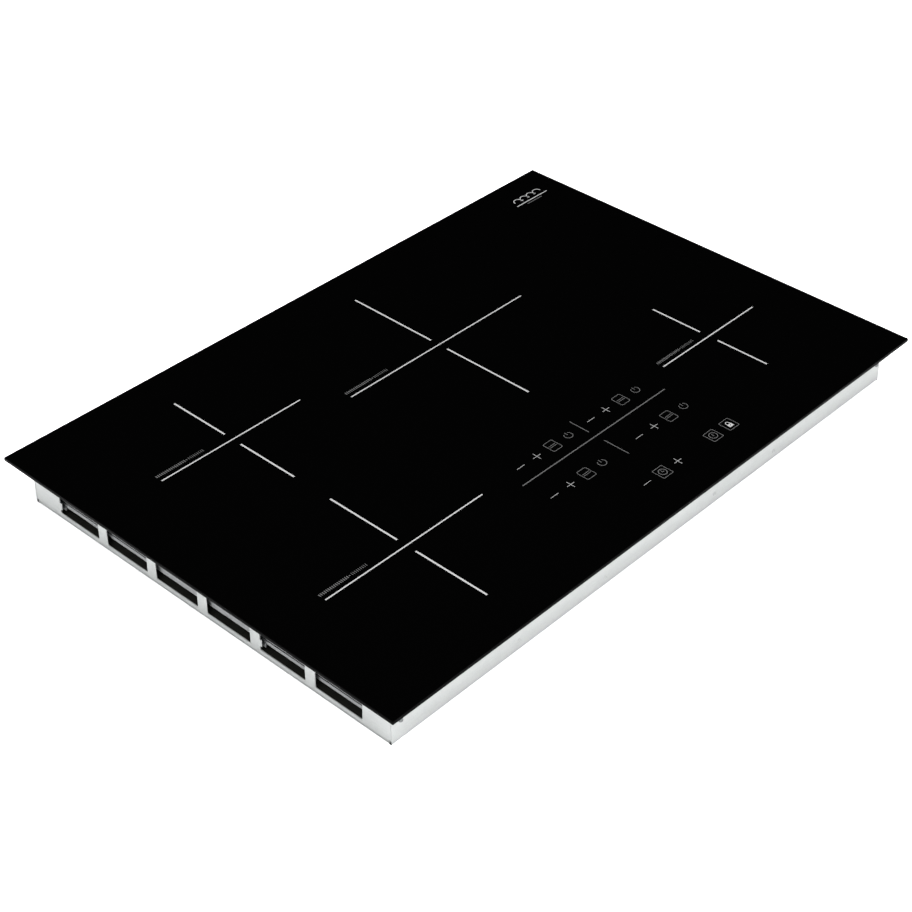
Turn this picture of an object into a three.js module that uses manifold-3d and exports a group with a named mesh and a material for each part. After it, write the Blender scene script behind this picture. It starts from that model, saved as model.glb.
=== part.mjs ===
// Built-in electric induction cooktop with four cooking zones and a touch panel.
// Millimetres, +Z up. The origin is the centre of the underside, +X points to the
// user's right and +Y to the back, so the user stands at -Y.
import * as THREE from 'three';
import { mergeVertices } from 'three/addons/utils/BufferGeometryUtils.js';
import Module from 'manifold-3d';

const wasm = await Module();
wasm.setup();

// ---------------------------------------------------------------- driving dimensions

const GLASS = { width: 770, depth: 520, thickness: 4, cornerRadius: 1.4, arris: 1 };
const CASE = { width: 735, depth: 482, height: 50, sheet: 1, bend: 3, lip: 2.5 };
const SEAM = 0.3;

const CASE_X = CASE.width / 2;
const CASE_Y = CASE.depth / 2;
const INNER_X = CASE_X - CASE.sheet;
const INNER_Y = CASE_Y - CASE.sheet;
const WALL_TOP = CASE.height - 0.6;

const VENT = { count: 6, pitch: 70.2, width: 57.5, offset: -1.7, bottom: 7.2, top: 38, corner: 1.2 };
// Small ears at the rear edge of two vents, counted from the front, steady the coil tray's tabs.
const EAR = { vents: [1, 5], reach: 2.5, bottom: 11.5, top: 19.5 };
const FLANGE = { reach: 15, bottom: 6, top: 39 };
const SCREW = { left: -356.4, right: 361.4, z: 23.2, holeRadius: 1.7 };
const GLAND = { x: 300, z: 17, threadRadius: 8, boreRadius: 5 };

const FRAME = { legBottom: 40, flangeBottom: 48, flangeTop: 49, flangeWidth: 17 };
const GASKET = { inset: 3, width: 9, height: 2 };

// Floor features: long stiffening grooves, and dimples that take countersunk screws.
const GROOVE = { width: 8, depth: 0.5 };
const DIMPLE = { radius: 4.2, depth: 0.6 };

const TRAY = { top: 30.2, sheet: 1.2, halfDepth: 233.2, leftEnd: -364, gapLeft: -106, gapRight: -90 };
const TRAY_RIGHT_END = 350;
const TRAY_FLANGE = { halfLength: 215, bottom: 14.6, slotBottom: 18.6, slotTop: 19.9, tabBottom: 9.5 };

// One power module cools and drives the coils above it; two of them stand side by side.
const MODULE = { left: -350, right: 100, halfDepth: 113, pitch: 230 };
const BLOWER = { x: 40, wheelRadius: 42, bottom: 3.2, top: 27, wall: 1.5, outletX: -24 };

const ZONES = [
  { name: 'rear_center', x: 41.4, y: 88.2, radius: 120 },
  { name: 'rear_left', x: -215.4, y: 122.3, radius: 85 },
  { name: 'front_left', x: -215.5, y: -112.3, radius: 97 },
  { name: 'front_right', x: 246, y: -106.6, radius: 71 },
];

const PANEL = { left: -85, right: 145, front: -230, back: -90, floor: 37, top: 46 };

// ---------------------------------------------------------------- materials

const finish = (color, roughness, metalness) =>
  new THREE.MeshStandardMaterial({ color, roughness, metalness });

const GLASS_BLACK = finish(0x060607, 0.06, 0);
const ZINC_STEEL = finish(0xd2d5d3, 0.38, 0.85);
const ALUMINIUM = finish(0xc4c6c8, 0.42, 0.9);
const SCREW_STEEL = finish(0x8d8f92, 0.35, 0.95);
const FOAM = finish(0x1c1c1d, 0.95, 0);
const SILICONE = finish(0x2a2a2c, 0.7, 0);
const BLACK_PLASTIC = finish(0x141415, 0.55, 0);
const WHITE_PLASTIC = finish(0xe6e4dc, 0.5, 0);
const BOARD_GREEN = finish(0x1d5a38, 0.5, 0);
const COPPER = finish(0xb06a38, 0.4, 0.8);
const MICA = finish(0xcdbf9d, 0.8, 0);
const BLUE_FILM = finish(0x2a5c8e, 0.45, 0);
const RIBBON_GREY = finish(0xa9a9a6, 0.6, 0);

// ---------------------------------------------------------------- geometry helpers

/** Makes a manifold solid of a closed three.js geometry. */
function toSolid(geometry) {
  const bare = geometry.clone();
  bare.deleteAttribute('normal');
  bare.deleteAttribute('uv');
  const merged = mergeVertices(bare, 1e-4);
  return new wasm.Manifold(new wasm.Mesh({
    numProp: 3,
    vertProperties: merged.attributes.position.array,
    triVerts: new Uint32Array(merged.index.array),
  }));
}

/** Turns a manifold solid back into a three.js geometry. */
function toGeometry(solid) {
  const { vertProperties, triVerts } = solid.getMesh();
  const geometry = new THREE.BufferGeometry();
  geometry.setAttribute('position', new THREE.BufferAttribute(vertProperties, 3));
  geometry.setIndex(new THREE.BufferAttribute(triVerts, 1));
  geometry.computeVertexNormals();
  return geometry;
}

const join = (...pieces) => toGeometry(pieces.map(toSolid).reduce((whole, next) => whole.add(next)));

const cut = (base, ...tools) =>
  toGeometry(tools.map(toSolid).reduce((rest, tool) => rest.subtract(tool), toSolid(base)));

/** A box between two values on each axis. */
function block(x0, x1, y0, y1, z0, z1) {
  const box = new THREE.BoxGeometry(x1 - x0, y1 - y0, z1 - z0);
  return box.translate((x0 + x1) / 2, (y0 + y1) / 2, (z0 + z1) / 2);
}

/** An upright cylinder. */
function drum(x, y, radius, z0, z1, sides = 24) {
  const cylinder = new THREE.CylinderGeometry(radius, radius, z1 - z0, sides);
  return cylinder.rotateX(Math.PI / 2).translate(x, y, (z0 + z1) / 2);
}

/** A cylinder that lies along Y. */
function pin(x, z, radius, y0, y1, sides = 16) {
  return new THREE.CylinderGeometry(radius, radius, y1 - y0, sides).translate(x, (y0 + y1) / 2, z);
}

/** A closed profile of [radius, height] corners turned about Z, clear of the axis. */
function revolve(profile, sides = 32) {
  const corners = [...profile, profile[0]].map(([radius, height]) => new THREE.Vector2(radius, height));
  return new THREE.LatheGeometry(corners, sides).rotateX(Math.PI / 2);
}

/** A flat ring with a square section. */
const washer = (inner, outer, z0, z1, sides = 32) =>
  revolve([[inner, z0], [outer, z0], [outer, z1], [inner, z1]], sides);

/** A straight extrusion of an XY outline. */
function slab(shape, z0, z1, curveSegments = 6) {
  const settings = { depth: z1 - z0, bevelEnabled: false, curveSegments };
  return new THREE.ExtrudeGeometry(shape, settings).translate(0, 0, z0);
}

/** Lays an extrusion whose outline is in (Y, Z) along X. */
const alongX = (geometry) => geometry.applyMatrix4(new THREE.Matrix4().makeBasis(
  new THREE.Vector3(0, 1, 0),
  new THREE.Vector3(0, 0, 1),
  new THREE.Vector3(1, 0, 0),
));

/** Lays an extrusion whose outline is in (X, Z) along Y, its depth running towards -Y. */
const alongY = (geometry) => geometry.rotateX(Math.PI / 2);

const outline = (corners) => new THREE.Shape(corners.map(([x, y]) => new THREE.Vector2(x, y)));

/** A rectangle with round corners about a centre. */
function roundRectangle(width, depth, radius, x = 0, y = 0) {
  const right = width / 2 - radius;
  const back = depth / 2 - radius;
  const path = new THREE.Shape();
  path.absarc(x + right, y + back, radius, 0, Math.PI / 2);
  path.absarc(x - right, y + back, radius, Math.PI / 2, Math.PI);
  path.absarc(x - right, y - back, radius, Math.PI, Math.PI * 1.5);
  path.absarc(x + right, y - back, radius, Math.PI * 1.5, Math.PI * 2);
  return path;
}

/** A rectangular ring: outer half sizes, the width of its band, and its heights. */
function frameRing(halfX, halfY, band, z0, z1) {
  const shape = outline([[-halfX, -halfY], [halfX, -halfY], [halfX, halfY], [-halfX, halfY]]);
  const inX = halfX - band;
  const inY = halfY - band;
  shape.holes.push(outline([[-inX, -inY], [-inX, inY], [inX, inY], [inX, -inY]]));
  return slab(shape, z0, z1);
}

const cooktop = new THREE.Group();

/** Adds one named sub-part to a group. */
function place(group, name, geometry, material) {
  const mesh = new THREE.Mesh(geometry, material);
  mesh.name = name;
  group.add(mesh);
}

// ---------------------------------------------------------------- glass and its frame

/** Ceramic glass plate with ground corners and a small arris all round. */
function glassTop() {
  const { width, depth, thickness, cornerRadius, arris } = GLASS;
  const shape = roundRectangle(width - 2 * arris, depth - 2 * arris, cornerRadius - arris);
  const plate = new THREE.ExtrudeGeometry(shape, {
    depth: thickness - 2 * arris,
    bevelEnabled: true,
    bevelThickness: arris,
    bevelSize: arris,
    bevelSegments: 1,
    curveSegments: 4,
  });
  return plate.translate(0, 0, CASE.height + arris);
}

/** Foam tape that seals the glass against the worktop. */
const glassGasket = () => frameRing(
  GLASS.width / 2 - GASKET.inset,
  GLASS.depth / 2 - GASKET.inset,
  GASKET.width,
  CASE.height - GASKET.height,
  CASE.height,
);

/** Silicone bead between the glass and the frame's flange. */
const adhesiveBead = () => frameRing(INNER_X - 1, INNER_Y - 1, 8, FRAME.flangeTop, CASE.height);

/** L-section ring inside the walls that the glass is glued to. */
const glassFrame = () => join(
  frameRing(INNER_X, INNER_Y, CASE.sheet, FRAME.legBottom, FRAME.flangeTop),
  frameRing(INNER_X, INNER_Y, FRAME.flangeWidth, FRAME.flangeBottom, FRAME.flangeTop),
);

// ---------------------------------------------------------------- sheet-metal case

/** Section of the pan in (Y, Z): floor, two round bends and two walls. */
function panSection() {
  const bendY = CASE_Y - CASE.bend;
  const inside = CASE.bend - CASE.sheet;
  const section = new THREE.Shape();
  section.moveTo(-CASE_Y, WALL_TOP);
  section.absarc(-bendY, CASE.bend, CASE.bend, Math.PI, Math.PI * 1.5);
  section.absarc(bendY, CASE.bend, CASE.bend, Math.PI * 1.5, Math.PI * 2);
  section.lineTo(CASE_Y, WALL_TOP);
  section.lineTo(INNER_Y, WALL_TOP);
  section.absarc(bendY, CASE.bend, inside, 0, -Math.PI / 2, true);
  section.absarc(-bendY, CASE.bend, inside, -Math.PI / 2, -Math.PI, true);
  section.lineTo(-INNER_Y, WALL_TOP);
  return section;
}

/** Low turned-up lip along one side edge of the floor; side is -1 or 1. */
function floorLip(side) {
  const bend = CASE.bend / 2;
  const halfLength = CASE_Y - CASE.bend - 1;
  const section = new THREE.Shape();
  section.moveTo(-CASE_X, CASE.lip);
  section.absarc(-CASE_X + bend, bend, bend, Math.PI, Math.PI * 1.5);
  section.lineTo(-CASE_X + 2 * bend, 0);
  section.lineTo(-CASE_X + 2 * bend, CASE.sheet);
  section.lineTo(-INNER_X, CASE.sheet);
  section.lineTo(-INNER_X, CASE.lip);
  const lip = alongY(slab(section, -halfLength, halfLength, 3));
  return side < 0 ? lip : lip.rotateZ(Math.PI);
}

/** Parallel slots under one blower, clipped to a circle. */
function intakeSlots(centreY) {
  const reach = 36;
  const pitch = 8;
  const slotWidth = 4;
  const rows = [-4, -3, -2, -1, 0, 1, 2, 3, 4];
  return rows.map((row) => {
    const y = centreY + row * pitch;
    const half = Math.sqrt(reach ** 2 - (row * pitch) ** 2);
    return block(BLOWER.x - half, BLOWER.x + half, y - slotWidth / 2, y + slotWidth / 2, -1, 2);
  });
}

/** A round-ended stretch of groove in the underside, along X or along Y. */
function floorGroove(x0, x1, y0, y1) {
  const [width, depth] = [x1 - x0 + GROOVE.width, y1 - y0 + GROOVE.width];
  const shape = roundRectangle(width, depth, GROOVE.width / 2, (x0 + x1) / 2, (y0 + y1) / 2);
  return slab(shape, -1, GROOVE.depth, 4);
}

/** Grooves round both power modules and under the mains filter. */
const floorGrooves = () => [
  floorGroove(-300, 300, 0, 0),
  floorGroove(-300, -60, 60, 60),
  floorGroove(-300, -60, 170, 170),
  floorGroove(-300, -60, -60, -60),
  floorGroove(-300, -60, -170, -170),
  floorGroove(200, 320, -60, -60),
  floorGroove(200, 320, -170, -170),
];

/** Dimples for the screws that hold the module trays and the filter tray. */
function floorDimples() {
  const moduleXs = [-340, -120, 90];
  const moduleSpots = [-1, 1].flatMap((side) => moduleXs.flatMap((x) =>
    [-100, 100].map((y) => [x, side * (MODULE.pitch / 2) + y])));
  const filterSpots = [[188, 33], [337, 33], [188, 169], [337, 169]];
  return [...moduleSpots, ...filterSpots].map(([x, y]) =>
    drum(x, y, DIMPLE.radius, -1, DIMPLE.depth, 12));
}

/** Floor with the front and rear walls, bent from one sheet. */
function basePan() {
  const channel = alongX(slab(panSection(), -CASE_X, CASE_X, 4));
  const edge = CASE.bend / 2;
  const reliefs = [-1, 1].map((side) => {
    const [x0, x1] = [side * (CASE_X + 1), side * (CASE_X - edge)].sort((a, b) => a - b);
    return block(x0, x1, -CASE_Y - 1, CASE_Y + 1, -1, edge);
  });
  const screwHoles = [SCREW.left, SCREW.right].map((x) =>
    pin(x, SCREW.z, SCREW.holeRadius, -CASE_Y - 1, CASE_Y + 1, 12));
  const glandHole = pin(GLAND.x, GLAND.z, GLAND.threadRadius + SEAM, INNER_Y - 1, CASE_Y + 1, 24);
  const floor = cut(
    channel,
    ...reliefs,
    ...screwHoles,
    glandHole,
    ...intakeSlots(MODULE.pitch / 2),
    ...intakeSlots(-MODULE.pitch / 2),
    ...floorGrooves(),
    ...floorDimples(),
  );
  return join(floor, floorLip(-1), floorLip(1));
}

/** Side wall with a joggled foot and two return flanges; the left side has the vents. */
function sidePanel(side) {
  const wallBottom = CASE.lip + 0.4;
  const footBack = -INNER_X + 0.4;
  const footEnd = -INNER_X + FLANGE.reach;
  const halfLength = INNER_Y - SEAM;
  const section = outline([
    [-CASE_X, wallBottom],
    [footBack, wallBottom],
    [footBack, CASE.sheet],
    [footEnd, CASE.sheet],
    [footEnd, 2 * CASE.sheet],
    [footBack + CASE.sheet, 2 * CASE.sheet],
    [footBack + CASE.sheet, wallBottom + CASE.sheet],
    [-INNER_X, wallBottom + CASE.sheet],
    [-INNER_X, WALL_TOP],
    [-CASE_X, WALL_TOP],
  ]);
  const wall = alongY(slab(section, -halfLength, halfLength));
  const notches = [-1, 1].map((end) => {
    const y = end * (halfLength - 0.5);
    return block(-CASE_X - 1, footEnd + 1, y - 2, y + 2, -1, FLANGE.bottom - 1.5);
  });
  const flanges = [-1, 1].map((end) => {
    const outer = end * halfLength;
    const inner = end * (halfLength - CASE.sheet);
    const [y0, y1] = [outer, inner].sort((a, b) => a - b);
    return block(-CASE_X + 0.5, footEnd, y0, y1, FLANGE.bottom, FLANGE.top);
  });
  const screwX = side < 0 ? SCREW.left : -SCREW.right;
  const screwHole = pin(screwX, SCREW.z, SCREW.holeRadius, -CASE_Y, CASE_Y, 12);
  const panel = cut(join(wall, ...flanges), ...notches, screwHole);
  if (side > 0) return toGeometry(toSolid(panel).mirror([1, 0, 0]));
  return join(cut(panel, ...ventOpenings()), ...ventEars());
}

const ventCentre = (index) => VENT.offset + (index - (VENT.count - 1) / 2) * VENT.pitch;

/** Cutters for the row of air outlets in the left wall. */
function ventOpenings() {
  const height = VENT.top - VENT.bottom;
  return Array.from({ length: VENT.count }, (_, index) => {
    const middleZ = VENT.bottom + height / 2;
    const hole = roundRectangle(VENT.width, height, VENT.corner, ventCentre(index), middleZ);
    return alongX(slab(hole, -CASE_X - 1, -CASE_X + 2, 3));
  });
}

/** Ears that reach from the wall into a vent at its rear edge. */
const ventEars = () => EAR.vents.map((index) => {
  const edge = ventCentre(index) + VENT.width / 2;
  return block(-CASE_X, -INNER_X, edge - EAR.reach, edge + 1, EAR.bottom, EAR.top);
});

/** Pan-head screw through a wall; end is -1 at the front and 1 at the back. */
function caseScrew(x, end) {
  const head = { radius: 2.5, height: 1.4 };
  const shank = { radius: 1.4, length: 7 };
  const face = end * CASE_Y;
  const headSpan = [face, face + end * head.height].sort((a, b) => a - b);
  const shankSpan = [face - end * shank.length, face + end * 0.5].sort((a, b) => a - b);
  return join(
    pin(x, SCREW.z, head.radius, ...headSpan, 20),
    pin(x, SCREW.z, shank.radius, ...shankSpan, 12),
  );
}

// ---------------------------------------------------------------- mains connection

/** Threaded sleeve with a collar and a dome, open right through for the mains lead. */
function cableGland() {
  const collar = { radius: 11.5, length: 5 };
  const dome = { radius: 9.5, length: 7 };
  const inner = INNER_Y - 8;
  const collarEnd = CASE_Y + collar.length;
  const domeEnd = collarEnd + dome.length;
  const sleeve = revolve([
    [GLAND.boreRadius, inner],
    [GLAND.threadRadius, inner],
    [GLAND.threadRadius, CASE_Y],
    [collar.radius, CASE_Y],
    [collar.radius, collarEnd],
    [dome.radius, collarEnd],
    [GLAND.boreRadius + 1, domeEnd],
    [GLAND.boreRadius, domeEnd],
  ], 24);
  return sleeve.rotateX(-Math.PI / 2).translate(GLAND.x, 0, GLAND.z);
}

/** Six-sided lock nut inside the rear wall. */
function glandNut() {
  const nut = new THREE.CylinderGeometry(11.5, 11.5, 4, 6).translate(GLAND.x, INNER_Y - 2, GLAND.z);
  return cut(nut, pin(GLAND.x, GLAND.z, GLAND.threadRadius + SEAM, INNER_Y - 6, INNER_Y + 1, 24));
}

/** Five-way terminal block with an open chamber over each screw. */
function terminalBlock() {
  const way = 12;
  const ways = 5;
  const left = GLAND.x - (ways * way) / 2;
  const body = block(left - 2, left + ways * way + 2, 192, 222, CASE.sheet, 22);
  const chambers = Array.from({ length: ways }, (_, index) => {
    const x = left + index * way;
    return block(x + 1.5, x + way - 1.5, 196, 223, 6, 23);
  });
  return cut(body, ...chambers);
}

/** Shallow moulded tray with a rim and round pegs that a board rests on. */
function boardTray(x0, x1, y0, y1, pegs, hole) {
  const rim = 2;
  const floorTop = 3;
  const rimTop = 8;
  const pegTop = 6;
  const shell = cut(
    block(x0, x1, y0, y1, CASE.sheet, rimTop),
    block(x0 + rim, x1 - rim, y0 + rim, y1 - rim, floorTop, rimTop + 1),
  );
  const tray = join(shell, ...pegs.map(([x, y]) => drum(x, y, 4, floorTop - 1, pegTop, 12)));
  return hole ? cut(tray, hole) : tray;
}

/** Mains filter: tray, board, choke and capacitor at the right rear. */
function addMainsFilter(group) {
  const board = { x0: 185, x1: 340, y0: 30, y1: 172, z0: 6, z1: 7.6 };
  const pegs = [[195, 40], [330, 40], [195, 162], [330, 162]];
  place(group, 'filter_tray', boardTray(178, 347, 23, 179, pegs), BLACK_PLASTIC);
  const { x0, x1, y0, y1, z0, z1 } = board;
  place(group, 'filter_board', block(x0, x1, y0, y1, z0, z1), BOARD_GREEN);
  const choke = washer(7, 17, z1, 24, 24).translate(225, 75, 0);
  place(group, 'filter_choke', choke, COPPER);
  place(group, 'filter_capacitor', block(268, 300, 110, 128, z1, 26), BLUE_FILM);
}

// ---------------------------------------------------------------- power modules

/** Scroll outline about the wheel's axis, with a straight duct towards -X. */
function scrollOutline(inset) {
  const start = { angle: Math.PI * 0.72, radius: 48 };
  const end = { angle: Math.PI * 2.5, radius: 60 };
  const steps = 22;
  const shape = new THREE.Shape();
  for (let step = 0; step <= steps; step += 1) {
    const share = step / steps;
    const angle = THREE.MathUtils.lerp(start.angle, end.angle, share);
    const radius = THREE.MathUtils.lerp(start.radius, end.radius, share) - inset;
    const point = [radius * Math.cos(angle), radius * Math.sin(angle)];
    if (step === 0) shape.moveTo(...point);
    else shape.lineTo(...point);
  }
  const mouth = BLOWER.outletX - BLOWER.x - (inset > 0 ? 5 : 0);
  const ductSide = start.radius * Math.sin(start.angle) - 8 + inset;
  shape.lineTo(mouth, end.radius - inset);
  shape.lineTo(mouth, ductSide);
  return shape;
}

/** Blower casing with an inlet in its floor and an outlet towards the left wall. */
function blowerHousing() {
  const { bottom, top, wall } = BLOWER;
  return cut(
    slab(scrollOutline(0), bottom, top),
    slab(scrollOutline(wall), bottom + wall, top - wall),
    drum(0, 0, 33, bottom - 1, bottom + 2 * wall, 28),
  );
}

/** Centrifugal wheel: motor cup, top disc, curved-back blades and a lower ring. */
function impeller() {
  const cup = { inner: 16.5, outer: 18, bottom: 8 };
  const disc = { bottom: 22, top: 23.5 };
  const ring = { inner: 38, bottom: 8, top: 9.5 };
  const blade = { count: 18, radius: 35.6, length: 11, thickness: 1.4, pitch: 0.62 };
  const sides = 32;
  const blades = Array.from({ length: blade.count }, (_, index) => {
    const vane = new THREE.BoxGeometry(blade.length, blade.thickness, disc.bottom - ring.bottom + 0.5);
    vane.rotateZ(blade.pitch);
    vane.translate(blade.radius, 0, (disc.bottom + ring.bottom + 0.5) / 2);
    return vane.rotateZ((index * 2 * Math.PI) / blade.count);
  });
  return join(
    washer(cup.inner, BLOWER.wheelRadius, disc.bottom, disc.top, sides),
    washer(cup.inner, cup.outer, cup.bottom, disc.top, sides),
    drum(0, 0, cup.outer, cup.bottom, cup.bottom + 1.5, sides),
    washer(ring.inner, BLOWER.wheelRadius, ring.bottom, ring.top, sides),
    ...blades,
  );
}

/** Laminated motor core with six winding slots, inside the wheel's cup. */
function blowerStator() {
  const core = washer(4.3, 15, 13, 21, 24);
  const slots = Array.from({ length: 6 }, (_, index) =>
    block(8, 16, -1.2, 1.2, 12, 22).rotateZ((index * Math.PI) / 3));
  return cut(core, ...slots);
}

/** Comb-section heatsink whose fins run along X in the blower's air stream. */
function heatsink() {
  const fins = 13;
  const finWidth = 1.4;
  const gap = 2.6;
  const bottom = 7.6;
  const base = 11;
  const top = 26;
  const half = (fins * finWidth + (fins - 1) * gap) / 2;
  const corners = [[-half, bottom], [half, bottom]];
  for (let fin = 0; fin < fins; fin += 1) {
    const right = half - fin * (finWidth + gap);
    corners.push([right, top], [right - finWidth, top]);
    if (fin < fins - 1) corners.push([right - finWidth, base], [right - finWidth - gap, base]);
  }
  return alongX(slab(outline(corners), -310, -45)).translate(0, 40, 0);
}

/** Board that carries the power electronics of two coils. */
function powerBoard() {
  return block(-338, -40, -104, 104, 6, 7.6);
}

/** Row of three film capacitors on a common base. */
function capacitorBank() {
  const row = [-260, -205, -150].map((x) => block(x - 21, x + 21, -62, -36, 8, 25));
  return join(block(-284, -126, -64, -34, 7.6, 9), ...row);
}

function addPowerModule(suffix, y) {
  const group = new THREE.Group();
  group.position.y = y;
  cooktop.add(group);
  const pegs = [[-325, -95], [-325, 95], [-55, -95], [-55, 95]];
  const inlet = drum(BLOWER.x, 0, 37, 0, 4, 28);
  const { left, right, halfDepth } = MODULE;
  const tray = boardTray(left, right, -halfDepth, halfDepth, pegs, inlet);
  place(group, `electronics_tray_${suffix}`, tray, BLACK_PLASTIC);
  place(group, `power_board_${suffix}`, powerBoard(), BOARD_GREEN);
  place(group, `heatsink_${suffix}`, heatsink(), ALUMINIUM);
  place(group, `capacitor_bank_${suffix}`, capacitorBank(), BLUE_FILM);

  const blower = new THREE.Group();
  blower.position.x = BLOWER.x;
  group.add(blower);
  place(blower, `blower_housing_${suffix}`, blowerHousing(), BLACK_PLASTIC);
  place(blower, `impeller_${suffix}`, impeller(), BLACK_PLASTIC);
  place(blower, `blower_shaft_${suffix}`, drum(0, 0, 1.5, 9.5, 24.5, 12), SCREW_STEEL);
  place(blower, `blower_bearing_${suffix}`, washer(1.8, 4, 12, BLOWER.top - BLOWER.wall, 16), SCREW_STEEL);
  place(blower, `blower_stator_${suffix}`, blowerStator(), COPPER);
}

// ---------------------------------------------------------------- coil trays and coils

/** Narrow leg of a coil tray, down to the case floor. */
function trayLeg(x, end) {
  const halfWidth = 14;
  const [y0, y1] = [end * TRAY.halfDepth, end * (TRAY.halfDepth - TRAY.sheet)].sort((a, b) => a - b);
  return block(x - halfWidth, x + halfWidth, y0, y1, CASE.sheet, TRAY.top - 0.4);
}

const fourLegs = (xs) => [-1, 1].flatMap((end) => xs.map((x) => trayLeg(x, end)));

/** Wire holes under the middle of each coil between two X values. */
const wireHoles = (x0, x1) => ZONES.filter(({ x }) => x > x0 && x < x1)
  .map(({ x, y }) => drum(x, y, 16, TRAY.top - 3, TRAY.top + 1, 20));

/** Left coil tray, with the slotted side flange and two tabs that show behind the vents. */
function coilTrayLeft() {
  const { leftEnd, gapLeft, halfDepth, top, sheet } = TRAY;
  const plate = block(leftEnd, gapLeft, -halfDepth, halfDepth, top - sheet, top);
  const { halfLength, bottom, slotBottom, slotTop, tabBottom } = TRAY_FLANGE;
  const flange = block(leftEnd, leftEnd + sheet, -halfLength, halfLength, bottom, top);
  const slots = [[71, 206], [-206, -75]].map(([y0, y1]) =>
    block(leftEnd - 1, leftEnd + 2, y0, y1, slotBottom, slotTop));
  const tabs = EAR.vents.map((index) => {
    const edge = ventCentre(index) + VENT.width / 2;
    return block(leftEnd, leftEnd + sheet, edge - 4, edge + 4, tabBottom, bottom + 1);
  });
  const body = join(plate, flange, ...tabs, ...fourLegs([-315, -135]));
  return cut(body, ...slots, ...wireHoles(leftEnd, gapLeft));
}

/** Right coil tray, which also carries the touch panel's holder. */
function coilTrayRight() {
  const { gapRight, halfDepth, top, sheet } = TRAY;
  const plate = block(gapRight, TRAY_RIGHT_END, -halfDepth, halfDepth, top - sheet, top);
  const body = join(plate, ...fourLegs([-60, 335]));
  return cut(body, ...wireHoles(gapRight, TRAY_RIGHT_END));
}

/** One induction coil: carrier, winding, mica disc and temperature sensor. */
function addCoil({ name, x, y, radius }) {
  const group = new THREE.Group();
  group.position.set(x, y, 0);
  cooktop.add(group);
  const seat = 40;
  const woundTop = 46;
  const sides = 32;
  const postRing = 0.72 * radius;
  const posts = [0, 1, 2].map((index) => {
    const angle = (index + 0.5) * ((2 * Math.PI) / 3);
    return drum(postRing * Math.cos(angle), postRing * Math.sin(angle), 5, TRAY.top, seat - 1, 10);
  });
  const carrier = join(
    washer(4, radius, seat - 2, seat, sides),
    washer(radius - 2, radius, seat - 2, woundTop - 1, sides),
    ...posts,
  );
  place(group, `coil_carrier_${name}`, carrier, BLACK_PLASTIC);
  place(group, `coil_winding_${name}`, washer(24, radius - 3, seat, woundTop, sides), COPPER);
  place(group, `coil_mica_${name}`, washer(9, radius - 1, woundTop, woundTop + 0.6, sides), MICA);
  place(group, `coil_sensor_${name}`, drum(0, 0, 6, seat, CASE.height - 0.2, 16), WHITE_PLASTIC);
}

// ---------------------------------------------------------------- touch panel

/** Open-topped holder on four feet, fixed to the right coil tray. */
function controlHolder() {
  const { left, right, front, back, floor, top } = PANEL;
  const wall = 2;
  const shell = cut(
    block(left, right, front, back, floor, top),
    block(left + wall, right - wall, front + wall, back - wall, floor + 1.5, top + 1),
  );
  const inset = 12;
  const feet = [left + inset, right - inset].flatMap((x) =>
    [front + inset, back - inset].map((y) => drum(x, y, 5, TRAY.top, floor + 3, 12)));
  return join(shell, ...feet);
}

/** Touch board, resting on the holder's feet. */
function controlBoard() {
  const { left, right, front, back, floor } = PANEL;
  const gap = 3;
  return block(left + gap, right - gap, front + gap, back - gap, floor + 3, floor + 4.6);
}

/** Light guide between the board's displays and the glass, one window per display. */
function displayGuide() {
  const bottom = PANEL.floor + 4.6;
  const top = CASE.height - 0.2;
  const body = block(-72, 138, -192, -102, bottom, top);
  const windows = [[-10, -111.4], [94.8, -111.4], [105.9, -163.3], [-21.4, -163.3]].map(([x, y]) =>
    block(x - 5, x + 5, y - 6, y + 6, bottom + 2, top + 1));
  return cut(body, ...windows);
}

/** Flat cable from the touch board through the gap between the coil trays. */
function ribbonCable() {
  const thickness = 0.8;
  const width = 14;
  const route = new THREE.CatmullRomCurve3([
    new THREE.Vector3(-86, 47.2, 0),
    new THREE.Vector3(-93, 45.5, 0),
    new THREE.Vector3(-98, 38, 0),
    new THREE.Vector3(-98, 24, 0),
    new THREE.Vector3(-100, 13, 0),
    new THREE.Vector3(-108, 9.2, 0),
    new THREE.Vector3(-118, 9, 0),
  ]);
  const steps = 18;
  const upper = [];
  const lower = [];
  for (let step = 0; step <= steps; step += 1) {
    const point = route.getPoint(step / steps);
    const tangent = route.getTangent(step / steps);
    const side = [-tangent.y * (thickness / 2), tangent.x * (thickness / 2)];
    upper.push([point.x + side[0], point.y + side[1]]);
    lower.unshift([point.x - side[0], point.y - side[1]]);
  }
  return alongY(slab(outline([...upper, ...lower]), 0, width)).translate(0, -150, 0);
}

// ---------------------------------------------------------------- assembly

place(cooktop, 'base_pan', basePan(), ZINC_STEEL);
place(cooktop, 'vent_panel_left', sidePanel(-1), ZINC_STEEL);
place(cooktop, 'side_panel_right', sidePanel(1), ZINC_STEEL);
place(cooktop, 'glass_frame', glassFrame(), ZINC_STEEL);
place(cooktop, 'adhesive_bead', adhesiveBead(), SILICONE);
place(cooktop, 'glass_gasket', glassGasket(), FOAM);
place(cooktop, 'glass_top', glassTop(), GLASS_BLACK);

place(cooktop, 'case_screw_front_left', caseScrew(SCREW.left, -1), SCREW_STEEL);
place(cooktop, 'case_screw_front_right', caseScrew(SCREW.right, -1), SCREW_STEEL);
place(cooktop, 'case_screw_rear_left', caseScrew(SCREW.left, 1), SCREW_STEEL);
place(cooktop, 'case_screw_rear_right', caseScrew(SCREW.right, 1), SCREW_STEEL);

place(cooktop, 'cable_gland', cableGland(), BLACK_PLASTIC);
place(cooktop, 'gland_nut', glandNut(), BLACK_PLASTIC);
place(cooktop, 'terminal_block', terminalBlock(), WHITE_PLASTIC);
addMainsFilter(cooktop);

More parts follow.
